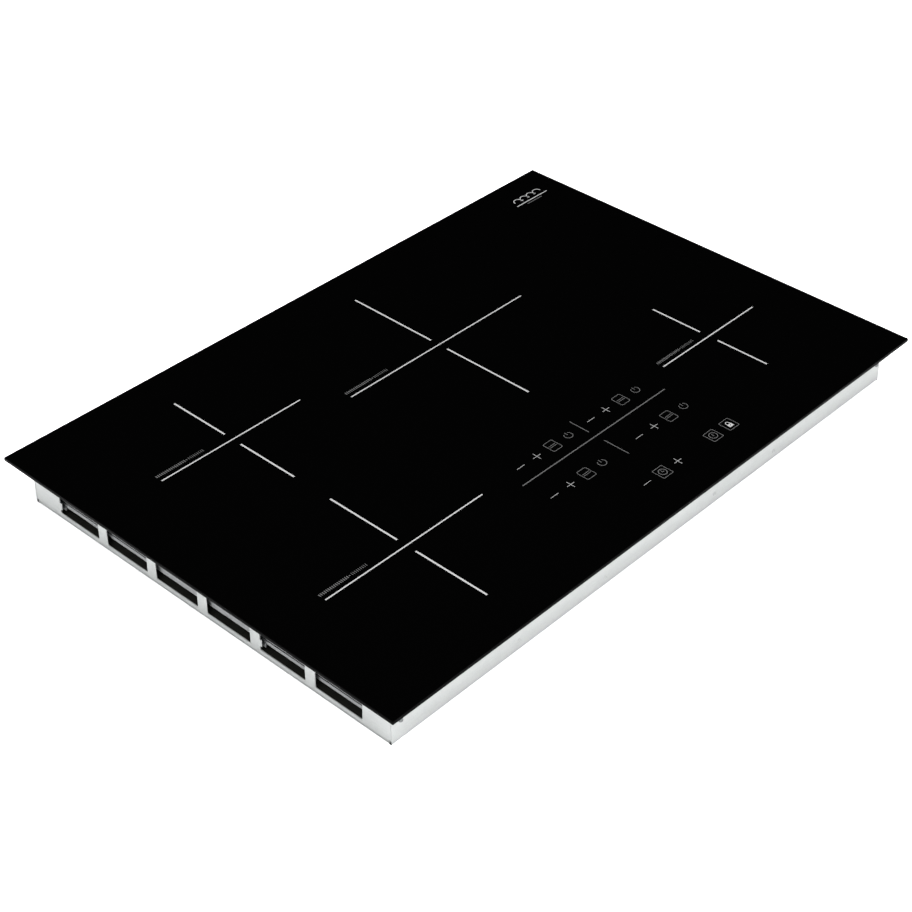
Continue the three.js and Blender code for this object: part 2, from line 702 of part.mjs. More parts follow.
addPowerModule('rear', MODULE.pitch / 2);
addPowerModule('front', -MODULE.pitch / 2);

place(cooktop, 'coil_tray_left', coilTrayLeft(), ALUMINIUM);
place(cooktop, 'coil_tray_right', coilTrayRight(), ALUMINIUM);
ZONES.forEach(addCoil);

place(cooktop, 'control_holder', controlHolder(), BLACK_PLASTIC);
place(cooktop, 'control_board', controlBoard(), BOARD_GREEN);
place(cooktop, 'display_guide', displayGuide(), WHITE_PLASTIC);
place(cooktop, 'ribbon_cable', ribbonCable(), RIBBON_GREY);

export default cooktop;
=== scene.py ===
import math

import bmesh
import bpy
from mathutils import Matrix, Vector


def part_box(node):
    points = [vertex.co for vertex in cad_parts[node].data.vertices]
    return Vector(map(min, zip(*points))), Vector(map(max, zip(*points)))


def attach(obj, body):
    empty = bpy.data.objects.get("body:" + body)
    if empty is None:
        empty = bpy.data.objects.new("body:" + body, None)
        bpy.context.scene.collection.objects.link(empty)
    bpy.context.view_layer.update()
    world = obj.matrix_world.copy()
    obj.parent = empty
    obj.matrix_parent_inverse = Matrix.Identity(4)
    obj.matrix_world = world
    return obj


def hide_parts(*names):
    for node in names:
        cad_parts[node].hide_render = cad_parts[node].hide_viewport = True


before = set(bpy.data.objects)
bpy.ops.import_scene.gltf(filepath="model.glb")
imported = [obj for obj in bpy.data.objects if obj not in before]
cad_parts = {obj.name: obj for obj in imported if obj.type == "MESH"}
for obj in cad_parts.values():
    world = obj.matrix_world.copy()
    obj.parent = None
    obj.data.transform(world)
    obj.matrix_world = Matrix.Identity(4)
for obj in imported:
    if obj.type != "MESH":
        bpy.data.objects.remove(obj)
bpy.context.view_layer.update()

# Lengths are in metres; MM turns the millimetres that the design is written in into metres.
MM = 0.001
TAU = 2 * math.pi
CHASSIS = "chassis"
WHEELS = {"rear": "fan_wheel_rear", "front": "fan_wheel_front"}
ZONES = ("rear_center", "rear_left", "front_left", "front_right")

GLASS_LOW, GLASS_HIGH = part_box("glass_top")
PAN_LOW, PAN_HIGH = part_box("base_pan")
PRINT_THICKNESS = 0.05 * MM
GLASS_SURFACE = GLASS_HIGH.z - PRINT_THICKNESS


# ------------------------------------------------------------------ camera, floor and light

def add_camera():
    """A long lens from above the front-left corner."""
    azimuth, elevation, roll = (math.radians(a) for a in (-47.4326, 37.3418, 0.424))
    target = Vector((-0.03848, -0.00956, 0.00407))
    distance = 2.0
    back = Vector((
        math.sin(azimuth) * math.cos(elevation),
        -math.cos(azimuth) * math.cos(elevation),
        math.sin(elevation),
    ))
    data = bpy.data.cameras.new("camera")
    data.lens = 78.87
    data.sensor_width = 36
    data.clip_start = 0.05
    data.clip_end = 60
    camera = bpy.data.objects.new("camera", data)
    camera.location = target + back * distance
    aim = (-back).to_track_quat("-Z", "Y").to_matrix()
    camera.rotation_euler = (aim @ Matrix.Rotation(roll, 3, "Z")).to_euler()
    bpy.context.scene.collection.objects.link(camera)
    bpy.context.scene.camera = camera


def add_area_light(name, location, target, size, watts):
    """A soft light that no surface mirrors, so that the glass stays black."""
    data = bpy.data.lights.new(name, "AREA")
    data.shape = "RECTANGLE"
    data.size, data.size_y = size
    data.energy = watts
    lamp = bpy.data.objects.new(name, data)
    lamp.location = location
    lamp.rotation_euler = (Vector(target) - Vector(location)).to_track_quat("-Z", "Y").to_euler()
    lamp.visible_glossy = False
    bpy.context.scene.collection.objects.link(lamp)


def add_world():
    """A pale backdrop whose light fades above the horizon, so that the glass mirrors black."""
    world = bpy.data.worlds.new("studio")
    bpy.context.scene.world = world
    world.use_nodes = True
    nodes, links = world.node_tree.nodes, world.node_tree.links
    direction = nodes.new("ShaderNodeTexCoord")
    split = nodes.new("ShaderNodeSeparateXYZ")
    fade = nodes.new("ShaderNodeMapRange")
    fade.interpolation_type = "SMOOTHSTEP"
    fade.inputs["From Min"].default_value = math.sin(math.radians(4))
    fade.inputs["From Max"].default_value = math.sin(math.radians(22))
    fade.inputs["To Min"].default_value = 0.7
    fade.inputs["To Max"].default_value = 0.001
    surround, backdrop = nodes["Background"], nodes.new("ShaderNodeBackground")
    surround.inputs["Color"].default_value = (0.97, 0.985, 1.0, 1.0)
    backdrop.inputs["Color"].default_value = (0.95, 0.955, 0.96, 1.0)
    seen, mix = nodes.new("ShaderNodeLightPath"), nodes.new("ShaderNodeMixShader")
    links.new(direction.outputs["Generated"], split.inputs[0])
    links.new(split.outputs["Z"], fade.inputs["Value"])
    links.new(fade.outputs["Result"], surround.inputs["Strength"])
    links.new(seen.outputs["Is Camera Ray"], mix.inputs["Fac"])
    links.new(surround.outputs[0], mix.inputs[1])
    links.new(backdrop.outputs[0], mix.inputs[2])
    links.new(mix.outputs[0], nodes["World Output"].inputs["Surface"])


def add_stage():
    bpy.ops.mesh.primitive_plane_add(size=6, location=(0, 0, -0.2 * MM))
    floor = bpy.context.object
    floor.name = "studio_floor"
    floor.data.materials.append(paper_material())
    add_area_light("overhead_softbox", (-0.8, -0.8, 2.9), (0, 0, 0), (4.0, 4.0), 460)
    for name, x, y, watts in (("left", -2.9, 0.5, 3), ("front", 0.3, -2.9, 30),
                              ("right", 2.9, -0.5, 26), ("rear", -0.3, 2.9, 26)):
        add_area_light(f"{name}_softbox", (x, y, 0.9), (0, 0, 0.02), (2.4, 1.0), watts)


# ------------------------------------------------------------------ node materials

class Paint:
    """A Principled material under construction, on object coordinates in metres."""

    def __init__(self, name, color, roughness, metallic=0.0, **sockets):
        self.material = bpy.data.materials.new(name)
        self.material.use_nodes = True
        self.tree = self.material.node_tree
        self.shader = self.tree.nodes["Principled BSDF"]
        self.set("Base Color", (*color, 1.0))
        self.set("Roughness", roughness)
        self.set("Metallic", metallic)
        for socket, value in sockets.items():
            self.set(socket.replace("_", " "), value)
        self.position = self.add("ShaderNodeTexCoord").outputs["Object"]

    def set(self, socket, value):
        self.shader.inputs[socket].default_value = value

    def add(self, kind, **settings):
        node = self.tree.nodes.new(kind)
        for key, value in settings.items():
            setattr(node, key, value)
        return node

    def link(self, output, target):
        self.tree.links.new(output, target)

    def stretched(self, stretch):
        """Object coordinates scaled by one factor per axis."""
        mapping = self.add("ShaderNodeMapping")
        mapping.inputs["Scale"].default_value = stretch
        self.link(self.position, mapping.inputs["Vector"])
        return mapping.outputs["Vector"]

    def noise(self, size, detail=3.0, stretch=(1, 1, 1), roughness=0.55):
        """Noise whose features are about size metres wide."""
        node = self.add("ShaderNodeTexNoise")
        node.inputs["Scale"].default_value = 1 / size
        node.inputs["Detail"].default_value = detail
        node.inputs["Roughness"].default_value = roughness
        self.link(self.stretched(stretch), node.inputs["Vector"])
        return node.outputs["Fac"]

    def cells(self, size, feature="F1", output="Color", stretch=(1, 1, 1)):
        """Voronoi cells about size metres wide."""
        node = self.add("ShaderNodeTexVoronoi", feature=feature)
        node.inputs["Scale"].default_value = 1 / size
        self.link(self.stretched(stretch), node.inputs["Vector"])
        return node.outputs[output]

    def waves(self, size, direction, distortion=0.0):
        node = self.add("ShaderNodeTexWave", wave_type="BANDS", bands_direction=direction)
        node.inputs["Scale"].default_value = 1 / size
        node.inputs["Distortion"].default_value = distortion
        self.link(self.position, node.inputs["Vector"])
        return node.outputs["Fac"]

    def range(self, value, low, high, from_low=0.3, from_high=0.7):
        node = self.add("ShaderNodeMapRange")
        node.inputs["From Min"].default_value = from_low
        node.inputs["From Max"].default_value = from_high
        node.inputs["To Min"].default_value = low
        node.inputs["To Max"].default_value = high
        self.link(value, node.inputs["Value"])
        return node.outputs["Result"]

    def blend(self, factor, low, high):
        """A colour between two fixed colours or colour outputs."""
        node = self.add("ShaderNodeMix", data_type="RGBA")
        self.link(factor, node.inputs["Factor"])
        for index, color in ((6, low), (7, high)):
            if isinstance(color, tuple):
                node.inputs[index].default_value = (*color, 1.0)
            else:
                self.link(color, node.inputs[index])
        return node.outputs[2]

    def product(self, first, second):
        node = self.add("ShaderNodeMath", operation="MULTIPLY")
        self.link(first, node.inputs[0])
        self.link(second, node.inputs[1])
        return node.outputs[0]

    def color(self, output):
        self.link(output, self.shader.inputs["Base Color"])

    def tint(self, factor, base, low, high):
        """A base colour that a factor varies between two shades."""
        self.color(self.blend(factor, shade(base, low), shade(base, high)))

    def rough(self, value, *limits):
        """Roughness that follows value between limits, which are range()'s."""
        self.link(self.range(value, *limits), self.shader.inputs["Roughness"])

    def bump(self, *layers):
        """Stacks (height output, depth in metres) layers into the shader's normal."""
        normal = None
        for height, depth in layers:
            node = self.add("ShaderNodeBump")
            node.inputs["Strength"].default_value = 1.0
            node.inputs["Distance"].default_value = depth
            self.link(height, node.inputs["Height"])
            if normal is not None:
                self.link(normal, node.inputs["Normal"])
            normal = node.outputs["Normal"]
        self.link(normal, self.shader.inputs["Normal"])


def grey(level):
    return (level,) * 3


def shade(color, factor):
    return tuple(channel * factor for channel in color)


def paper_material():
    paint = Paint("studio_paper", (0.93, 0.935, 0.94), 0.9)
    grain = paint.noise(0.4, 2)
    paint.color(paint.blend(grain, (0.92, 0.925, 0.93), (0.94, 0.945, 0.95)))
    return paint.material


def glass_material():
    """Black ceramic glass: deep black body, polished face with faint wipe marks."""
    paint = Paint("ceramic_glass", grey(0.0003), 0.045, IOR=1.5)
    body = paint.noise(0.6 * MM, 2)
    paint.color(paint.blend(body, grey(0.0002), grey(0.0004)))
    wipes = paint.noise(60 * MM, 5, (1, 3, 1))
    specks = paint.noise(2.2 * MM, 2)
    paint.rough(paint.product(wipes, specks), 0.03, 0.075, 0.15, 0.4)
    paint.bump((paint.noise(28 * MM, 2), 0.004 * MM))
    return paint.material


def glass_edge_material():
    """Ground edge of the glass: satin black."""
    paint = Paint("ceramic_glass_edge", grey(0.001), 0.4, Specular_IOR_Level=0.01)
    grinding = paint.noise(0.5 * MM, 3, (1, 1, 0.15))
    paint.color(paint.blend(grinding, grey(0.0005), grey(0.0014)))
    paint.rough(grinding, 0.3, 0.5)
    paint.bump((grinding, 0.03 * MM))
    return paint.material


def enamel_material(name, albedo):
    """Fired ceramic print, slightly grainy."""
    paint = Paint(name, grey(albedo), 0.5)
    grain = paint.noise(0.35 * MM, 2)
    paint.color(paint.blend(grain, grey(albedo * 0.82), grey(albedo * 1.12)))
    paint.rough(grain, 0.42, 0.6)
    paint.bump((grain, 0.01 * MM))
    return paint.material


def zinc_material():
    """Zinc-coated sheet: soft spangle, rolling lines along the sheet and dull patches."""
    base = (0.345, 0.354, 0.35)
    paint = Paint("zinc_sheet", base, 0.45, 0.5)
    spangle = paint.cells(7 * MM)
    cloud = paint.noise(90 * MM, 4)
    tone = paint.blend(cloud, shade(base, 0.93), shade(base, 1.05))
    flecks = paint.blend(paint.range(spangle, 0.0, 1.0, 0.0, 1.0), shade(base, 0.95), shade(base, 1.05))
    patches = paint.blend(paint.noise(25 * MM, 2), tone, flecks)
    grain = paint.noise(1.3 * MM, 3)
    paint.color(paint.blend(grain, paint.blend(grain, shade(base, 0.8), patches), patches))
    rolling = paint.noise(1.2 * MM, 3, (0.04, 0.04, 1))
    paint.rough(paint.product(cloud, rolling), 0.34, 0.52, 0.15, 0.4)
    paint.bump((rolling, 0.012 * MM), (paint.noise(1.6 * MM, 3), 0.01 * MM))
    return paint.material


def aluminium_material(name, base):
    """Mill-finish aluminium with long rolling lines."""
    paint = Paint(name, base, 0.36, 0.95)
    lines = paint.noise(0.8 * MM, 4, (0.03, 1, 1))
    paint.tint(lines, base, 0.88, 1.06)
    paint.rough(paint.noise(14 * MM, 3), 0.3, 0.46)
    paint.bump((lines, 0.02 * MM))
    return paint.material


def screw_material():
    """Dark plated steel with turning marks and worn spots."""
    base = (0.16, 0.165, 0.17)
    paint = Paint("plated_steel", base, 0.34, 0.95)
    wear = paint.noise(1.4 * MM, 4)
    paint.tint(wear, base, 0.7, 1.5)
    paint.rough(wear, 0.25, 0.5)
    paint.bump((paint.noise(0.4 * MM, 2), 0.02 * MM))
    return paint.material


def foam_material():
    """Closed-cell foam tape."""
    paint = Paint("foam_tape", grey(0.018), 0.95)
    pores = paint.cells(0.7 * MM, output="Distance")
    paint.color(paint.blend(pores, (0.008, 0.008, 0.008), (0.03, 0.03, 0.031)))
    paint.bump((pores, 0.25 * MM))
    return paint.material


def silicone_material():
    paint = Paint("silicone_bead", (0.03, 0.03, 0.031), 0.5)
    ripple = paint.noise(3 * MM, 3)
    paint.color(paint.blend(ripple, (0.022, 0.022, 0.023), (0.04, 0.04, 0.042)))
    paint.rough(ripple, 0.4, 0.65)
    paint.bump((ripple, 0.1 * MM))
    return paint.material


def moulded_material(name, base, roughness, gloss=0.5, grain=0.35 * MM, depth=0.02 * MM):
    """Moulded plastic: fine spark-eroded grain and slow flow marks."""
    paint = Paint(name, base, roughness, Specular_IOR_Level=gloss)
    fine = paint.noise(grain, 3)
    flow = paint.noise(22 * MM, 3)
    paint.tint(flow, base, 0.85, 1.15)
    paint.rough(paint.product(fine, flow), roughness - 0.08, roughness + 0.12, 0.15, 0.4)
    paint.bump((fine, depth))
    return paint.material


def board_material():
    """Green solder mask over copper tracks."""
    base = (0.012, 0.09, 0.035)
    paint = Paint("circuit_board", base, 0.35, Coat_Weight=0.4)
    tracks = paint.cells(9 * MM, "DISTANCE_TO_EDGE", "Distance")
    line = paint.range(tracks, 1.0, 0.0, 0.06, 0.09)
    vias = paint.range(paint.cells(4 * MM, output="Distance"), 1.0, 0.0, 0.1, 0.13)
    tone = paint.blend(line, base, shade(base, 2.1))
    paint.color(paint.blend(vias, tone, (0.45, 0.44, 0.4)))
    paint.bump((line, 0.04 * MM))
    return paint.material


def copper_material():
    """Enamelled stranded wire: twisted strands and heat-darkened patches."""
    base = (0.46, 0.17, 0.06)
    paint = Paint("enamelled_copper", base, 0.38, 0.85)
    strands = paint.waves(1.6 * MM, "DIAGONAL", 2.0)
    patches = paint.noise(18 * MM, 3)
    tone = paint.blend(patches, shade(base, 0.7), shade(base, 1.2))
    paint.color(paint.blend(strands, shade(base, 0.45), tone))
    paint.rough(patches, 0.3, 0.5)
    paint.bump((strands, 0.12 * MM))
    return paint.material


def mica_material():
    """Pressed mica sheet: pale flakes with a pearly sheen."""
    base = (0.56, 0.47, 0.31)
    paint = Paint("mica_sheet", base, 0.45)
    flakes = paint.cells(5 * MM)
    veil = paint.noise(16 * MM, 4)
    paint.color(paint.blend(veil, shade(base, 0.8), paint.blend(flakes, shade(base, 0.9), shade(base, 1.25))))
    paint.rough(veil, 0.3, 0.6)
    paint.bump((paint.cells(3 * MM, output="Distance"), 0.03 * MM))
    return paint.material


def film_material():
    """Dipped blue epoxy with a soft orange-peel surface."""
    base = (0.02, 0.09, 0.26)
    paint = Paint("dipped_epoxy", base, 0.28, Coat_Weight=0.5)
    peel = paint.noise(1.5 * MM, 2)
    paint.tint(paint.noise(9 * MM, 2), base, 0.8, 1.25)
    paint.rough(peel, 0.22, 0.36)
    paint.bump((peel, 0.06 * MM))
    return paint.material


def ferrite_material():
    paint = Paint("sintered_ferrite", (0.05, 0.05, 0.053), 0.6)
    grain = paint.noise(0.5 * MM, 4)
    paint.color(paint.blend(grain, (0.03, 0.03, 0.032), (0.085, 0.085, 0.09)))
    paint.rough(grain, 0.5, 0.75)
    paint.bump((grain, 0.04 * MM))
    return paint.material


def ribbon_material():
    """Flat cable: one ridge per conductor."""
    base = (0.36, 0.36, 0.35)
    paint = Paint("flat_cable", base, 0.55)
    ridges = paint.waves(4.0 * MM, "Y")
    paint.tint(ridges, base, 0.7, 1.1)
    paint.bump((ridges, 0.2 * MM))
    return paint.material


add_camera()
add_world()
add_stage()

LOOKS = {
    "glass": glass_material(),
    "glass_edge": glass_edge_material(),
    "print_bright": enamel_material("enamel_bright", 0.21),
    "print_key": enamel_material("enamel_key", 0.13),
    "print_dim": enamel_material("enamel_dim", 0.05),
    "zinc": zinc_material(),
    "aluminium": aluminium_material("mill_aluminium", (0.66, 0.67, 0.68)),
    # A darker copy of the mill aluminium: painted shade for the coil trays, which are seen deep behind the
    # vents.
    "shaded_tray_aluminium": aluminium_material("shaded_aluminium", (0.20, 0.203, 0.206)),
    "screw": screw_material(),
    "foam": foam_material(),
    "silicone": silicone_material(),
    "black": moulded_material("black_moulding", (0.012, 0.0118, 0.0105), 0.55, 0.16),
    "white": moulded_material("white_moulding", (0.62, 0.61, 0.56), 0.42),
    "chip": moulded_material("chip_epoxy", (0.02, 0.02, 0.021), 0.6, grain=0.2 * MM),
    "red_wire": moulded_material("red_sleeve", (0.42, 0.03, 0.02), 0.45),
    "board": board_material(),
    "copper": copper_material(),
    "mica": mica_material(),
    "film": film_material(),
    "ferrite": ferrite_material(),
    "ribbon": ribbon_material(),
}


# ------------------------------------------------------------------ mesh building

def circle(radius, sides, start=0.0, centre=(0.0, 0.0)):
    """Points of a circle in a plane, counter-clockwise."""
    return [
        (centre[0] + radius * math.cos(start + TAU * i / sides),
         centre[1] + radius * math.sin(start + TAU * i / sides))
        for i in range(sides)
    ]


def round_rectangle(half_x, half_y, radius, steps=4, centre=(0.0, 0.0)):
    """Outline of a rectangle with round corners, counter-clockwise."""
    points = []
    for corner, (sx, sy) in enumerate(((1, 1), (-1, 1), (-1, -1), (1, -1))):
        for step in range(steps + 1):
            angle = (corner + step / steps) * math.pi / 2
            points.append((
                centre[0] + sx * (half_x - radius) + radius * math.cos(angle),
                centre[1] + sy * (half_y - radius) + radius * math.sin(angle),
            ))
    return points


def smooth_path(points, rounds):
    """Averages a polyline with its neighbours; the ends stay."""
    path = [Vector(p) for p in points]
    for _ in range(rounds):
        inner = [(path[i - 1] + path[i] * 2 + path[i + 1]) / 4 for i in range(1, len(path) - 1)]
        path = [path[0], *inner, path[-1]]
    return path


def finer(path, steps):
    """Adds evenly spaced points on each leg of a path."""
    points = []
    for here, there in zip(path, path[1:]):
        for k in range(steps):
            points.append(Vector(here).lerp(Vector(there), k / steps))
    points.append(Vector(path[-1]))
    return points


def helix(radius, bottom, rise, count, centre=(0.0, 0.0)):
    """Points of a spring of twelve points to a turn."""
    points = []
    for i in range(count):
        angle = TAU * i / 12
        points.append((centre[0] + radius * math.cos(angle), centre[1] + radius * math.sin(angle),
                       bottom + rise * i / (count - 1)))
    return points


class Build:
    """Collects closed shells for one piece. Each shell can have its own look.

    block, slab, spin and wire take millimetres from the build's origin; the rest take metres.
    """

    def __init__(self, origin=(0, 0, 0)):
        self.mesh = bmesh.new()
        self.looks = []
        self.origin = Vector(origin)

    def place(self, x, y, z=0.0):
        return self.origin + Vector((x, y, z)) * MM

    def block(self, low, high, look, bevel=0.0):
        """An upright block between two corners."""
        self.box(self.place(*low), self.place(*high), look, bevel * MM)

    def slab(self, outline, z0, z1, look, bevel=0.0):
        """An upright prism of an outline."""
        placed = [self.place(x, y)[:2] for x, y in outline]
        self.prism(placed, self.origin.z + z0 * MM, self.origin.z + z1 * MM, look, bevel * MM)

    def spin(self, profile, look, sides=48, axis="Z", at=(0, 0, 0), closed=True, smooth=True):
        """A turned shell about the place at."""
        scaled = [(radius * MM, height * MM) for radius, height in profile]
        self.lathe(scaled, look, sides, axis, self.place(*at), closed, smooth)

    def wire(self, points, radius, look, sides=6):
        self.tube([self.place(*point) for point in points], radius * MM, look, sides)

    def look(self, name):
        if name not in self.looks:
            self.looks.append(name)
        return self.looks.index(name)

    def skin(self, loops, look, smooth, closed_ends):
        """Joins loops of 3-D points into a closed shell and returns its faces, end caps last."""
        index = self.look(look)
        rings = [[self.mesh.verts.new(point) for point in loop] for loop in loops]
        faces = []
        pairs = list(zip(rings, rings[1:]))
        if not closed_ends:
            pairs.append((rings[-1], rings[0]))
        for lower, upper in pairs:
            count = len(lower)
            for i in range(count):
                j = (i + 1) % count
                faces.append(self.mesh.faces.new((lower[i], lower[j], upper[j], upper[i])))
        if closed_ends:
            faces.append(self.mesh.faces.new(list(reversed(rings[0]))))
            faces.append(self.mesh.faces.new(rings[-1]))
        for face in faces:
            face.material_index = index
            face.smooth = smooth
        return faces

    def prism(self, outline, z0, z1, look, bevel=0.0):
        """An upright prism of a convex or simple outline; bevel softens its upper rim."""
        loops = [[(x, y, z0) for x, y in outline]]
        if bevel:
            loops.append([(x, y, z1 - bevel) for x, y in outline])
            cx = sum(x for x, _ in outline) / len(outline)
            cy = sum(y for _, y in outline) / len(outline)
            shrunk = []
            for x, y in outline:
                away = Vector((x - cx, y - cy))
                scale = max(0.0, 1 - bevel / max(away.length, bevel))
                shrunk.append((cx + away.x * scale, cy + away.y * scale, z1))
            loops.append(shrunk)
        else:
            loops.append([(x, y, z1) for x, y in outline])
        self.skin(loops, look, False, True)

    def box(self, low, high, look, bevel=0.0):
        """An upright block between two corners, with small round vertical edges."""
        cx, cy = (low[0] + high[0]) / 2, (low[1] + high[1]) / 2
        hx, hy = (high[0] - low[0]) / 2, (high[1] - low[1]) / 2
        radius = max(bevel, 0.02 * MM)
        steps = 2 if bevel else 1
        outline = round_rectangle(hx, hy, radius, steps, (cx, cy))
        self.prism(outline, low[2], high[2], look, bevel * 0.7)

    def band(self, outer, inner, z0, z1, look):
        """A flat ring between two outlines with equal numbers of points."""
        loops = [
            [(x, y, z0) for x, y in outer],
            [(x, y, z1) for x, y in outer],
            [(x, y, z1) for x, y in inner],
            [(x, y, z0) for x, y in inner],
        ]
        self.skin(loops, look, False, False)

    def lathe(self, profile, look, sides=48, axis="Z", centre=(0, 0, 0), closed=True, smooth=True):
        """Turns (radius, height) points about an axis. A closed profile stays clear of the axis."""
        loops = []
        for radius, height in profile:
            ring = []
            for x, y in circle(radius, sides):
                point = (x, y, height) if axis == "Z" else (x, height, -y)
                ring.append(tuple(point[k] + centre[k] for k in range(3)))
            loops.append(ring)
        self.skin(loops, look, smooth, not closed)

    def tube(self, points, radius, look, sides=8, flatten=1.0):
        """A round tube through points; flatten scales its height against its width."""
        path = [Vector(p) for p in points]
        loops = []
        side = None
        for i, here in enumerate(path):
            ahead = path[min(i + 1, len(path) - 1)]
            behind = path[max(i - 1, 0)]
            along = (ahead - behind).normalized()
            if side is None:
                helper = Vector((0, 0, 1)) if abs(along.z) < 0.9 else Vector((1, 0, 0))
                side = along.cross(helper).normalized()
            side = (side - along * side.dot(along)).normalized()
            over = side.cross(along)
            loops.append([
                tuple(here + side * x + over * (y * flatten)) for x, y in circle(radius, sides)
            ])
        self.skin(loops, look, True, True)

    def piece(self, name, body=CHASSIS, stands_for=()):
        """Makes the object, rides it on its body and hides the CAD nodes that it stands for."""
        bmesh.ops.recalc_face_normals(self.mesh, faces=self.mesh.faces[:])
        data = bpy.data.meshes.new(name)
        self.mesh.to_mesh(data)
        self.mesh.free()
        for look in self.looks:
            data.materials.append(LOOKS[look])
        piece = bpy.data.objects.new(name, data)
        bpy.context.scene.collection.objects.link(piece)
        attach(piece, body)
        if stands_for:
            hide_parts(*stands_for)
        return piece


def soften(piece, width, segments=2):
    """Small round edges on a sharp piece."""
    weld = piece.modifiers.new("weld", "WELD")
    weld.merge_threshold = 0.002 * MM
    bevel = piece.modifiers.new("soft_edges", "BEVEL")
    bevel.width = width
    bevel.segments = segments
    bevel.limit_method = "ANGLE"
    bevel.angle_limit = math.radians(35)


def paint_node(name, look, edge=0.0):
    """Gives a CAD node its finished material and, where asked, soft edges in millimetres."""
    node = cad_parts[name]
    node.data.materials.clear()
    node.data.materials.append(LOOKS[look])
    if edge:
        soften(node, edge * MM)


# ------------------------------------------------------------------ glass plate

def build_glass():
    """Plate with ground round edges, whose face leaves room for the print's thickness."""
    build = Build()
    low_z, high_z = GLASS_LOW.z, GLASS_SURFACE
    half_x = (GLASS_HIGH.x - GLASS_LOW.x) / 2
    half_y = (GLASS_HIGH.y - GLASS_LOW.y) / 2
    arris, corner, steps = 0.6 * MM, 0.7 * MM, 4
    levels = []
    for i in range(steps + 1):
        angle = (i / steps) * math.pi / 2
        levels.append((arris * (1 - math.sin(angle)), low_z + arris * (1 - math.cos(angle))))
    for i in range(steps + 1):
        angle = (i / steps) * math.pi / 2
        levels.append((arris * (1 - math.cos(angle)), high_z - arris * (1 - math.sin(angle))))
    loops = []
    for inset, z in levels:
        outline = round_rectangle(half_x - inset, half_y - inset, corner - inset, 6)
        loops.append([(x, y, z) for x, y in outline])
    faces = build.skin(loops, "glass_edge", True, True)
    face_index = build.look("glass")
    for cap in faces[-2:]:
        cap.material_index = face_index
        cap.smooth = False
    build.piece("ceramic_glass_plate", stands_for=("glass_top",))


# ------------------------------------------------------------------ prints on the glass

STROKE = 0.7
FINE = 0.6
# The front row of keys, from the glass's front-left corner, in millimetres.
ROW_Y = 46.2
MINUS_X, TIMER_X, PLUS_X, POWER_X, LOCK_X = 391.6, 414.9, 438.3, 494.3, 519.7


class Print(Build):
    """Flat marks on the glass. Positions are millimetres from its front-left corner."""

    def __init__(self, look="print_bright"):
        super().__init__()
        self.ink = look

    def _lay(self, outline):
        placed = [(GLASS_LOW.x + x * MM, GLASS_LOW.y + y * MM) for x, y in outline]
        self.prism(placed, GLASS_SURFACE - 0.02 * MM, GLASS_HIGH.z, self.ink)

    def bar(self, x0, y0, x1, y1, width=STROKE):
        """A straight stroke with square ends."""
        along = Vector((x1 - x0, y1 - y0)).normalized() * (width / 2)
        side = (-along.y, along.x)
        self._lay([
            (x0 - side[0], y0 - side[1]),
            (x1 - side[0], y1 - side[1]),
            (x1 + side[0], y1 + side[1]),
            (x0 + side[0], y0 + side[1]),
        ])

    def box_outline(self, x, y, width, depth, radius, stroke=FINE):
        rings = []
        for inset in (0, stroke):
            outline = round_rectangle(width / 2 - inset, depth / 2 - inset, radius - inset / 2, 4, (x, y))
            rings.append([(GLASS_LOW.x + px * MM, GLASS_LOW.y + py * MM) for px, py in outline])
        self.band(*rings, GLASS_SURFACE - 0.02 * MM, GLASS_HIGH.z, self.ink)

    def arc(self, x, y, radius, start=0.0, sweep=TAU, stroke=FINE, steps=28):
        """An arc stroke; angles are in radians, counter-clockwise from +X."""
        for i in range(steps):
            a0 = start + sweep * i / steps
            a1 = start + sweep * (i + 1) / steps
            corners = []
            for r, a in ((radius - stroke / 2, a0), (radius + stroke / 2, a0),
                         (radius + stroke / 2, a1), (radius - stroke / 2, a1)):
                corners.append((x + r * math.cos(a), y + r * math.sin(a)))
            self._lay(corners)

    def dot(self, x, y, radius):
        self._lay(circle(radius, 16, centre=(x, y)))

    def minus(self, x, y):
        self.bar(x - 5.4, y, x + 5.4, y)

    def plus(self, x, y):
        half = 5.2
        self.bar(x - half, y, x + half, y)
        self.bar(x, y - half, x, y - STROKE / 2)
        self.bar(x, y + STROKE / 2, x, y + half)

    def power(self, x, y, radius=4.5, stroke=0.7):
        gap = math.radians(38)
        self.arc(x, y, radius, math.pi / 2 + gap, TAU - 2 * gap, stroke)
        self.bar(x, y + 0.6, x, y + radius + 0.6, stroke)

    def display(self, x, y):
        self.box_outline(x, y, 13.2, 15.6, 2.0)
        for offset in (-1.1, 1.1):
            self.bar(x - 4.9, y + offset, x + 4.9, y + offset, FINE)


# Half of each cross's long line, and how far its short arms reach from the centre.
ZONE_MARKS = {
    "rear_center": {"centre": (425.9, 348.3), "half": 128.0, "reach": 123.1},
    "rear_left": {"centre": (169.6, 382.0), "half": 89.9, "reach": 86.2},
    "front_left": {"centre": (169.5, 148.1), "half": 102.3, "reach": 98.7},
    "front_right": {"centre": (630.2, 154.2), "half": 76.6, "reach": 74.2},
}


def print_zones():
    """A cross on each zone, with a graduated strip beside the left end of its long line."""
    long_line, short_line, near = 1.5, 2.0, 11.6
    for name, mark in ZONE_MARKS.items():
        cross = Print()
        x, y = mark["centre"]
        cross.bar(x - mark["half"], y, x + mark["half"], y, long_line)
        for side in (-1, 1):
            cross.bar(x, y + side * near, x, y + side * mark["reach"], short_line)
        cross.piece(f"print_cross_{name}")
        strip_of_ticks(name, x - mark["half"], y + 7.8)


def strip_of_ticks(name, x, y):
    """Row of ticks, a dot and a thinner row: a level scale."""
    reach = 1.7
    marks = Print("print_dim")
    for first, count, pitch, width in ((0.5, 16, 2.3, 1.1), (40.6, 9, 2.2, 0.6)):
        for i in range(count):
            at = x + first + i * pitch
            marks.bar(at, y - reach, at, y + reach, width)
    marks.dot(x + 37.6, y, 0.8)
    marks.piece(f"print_scale_{name}")


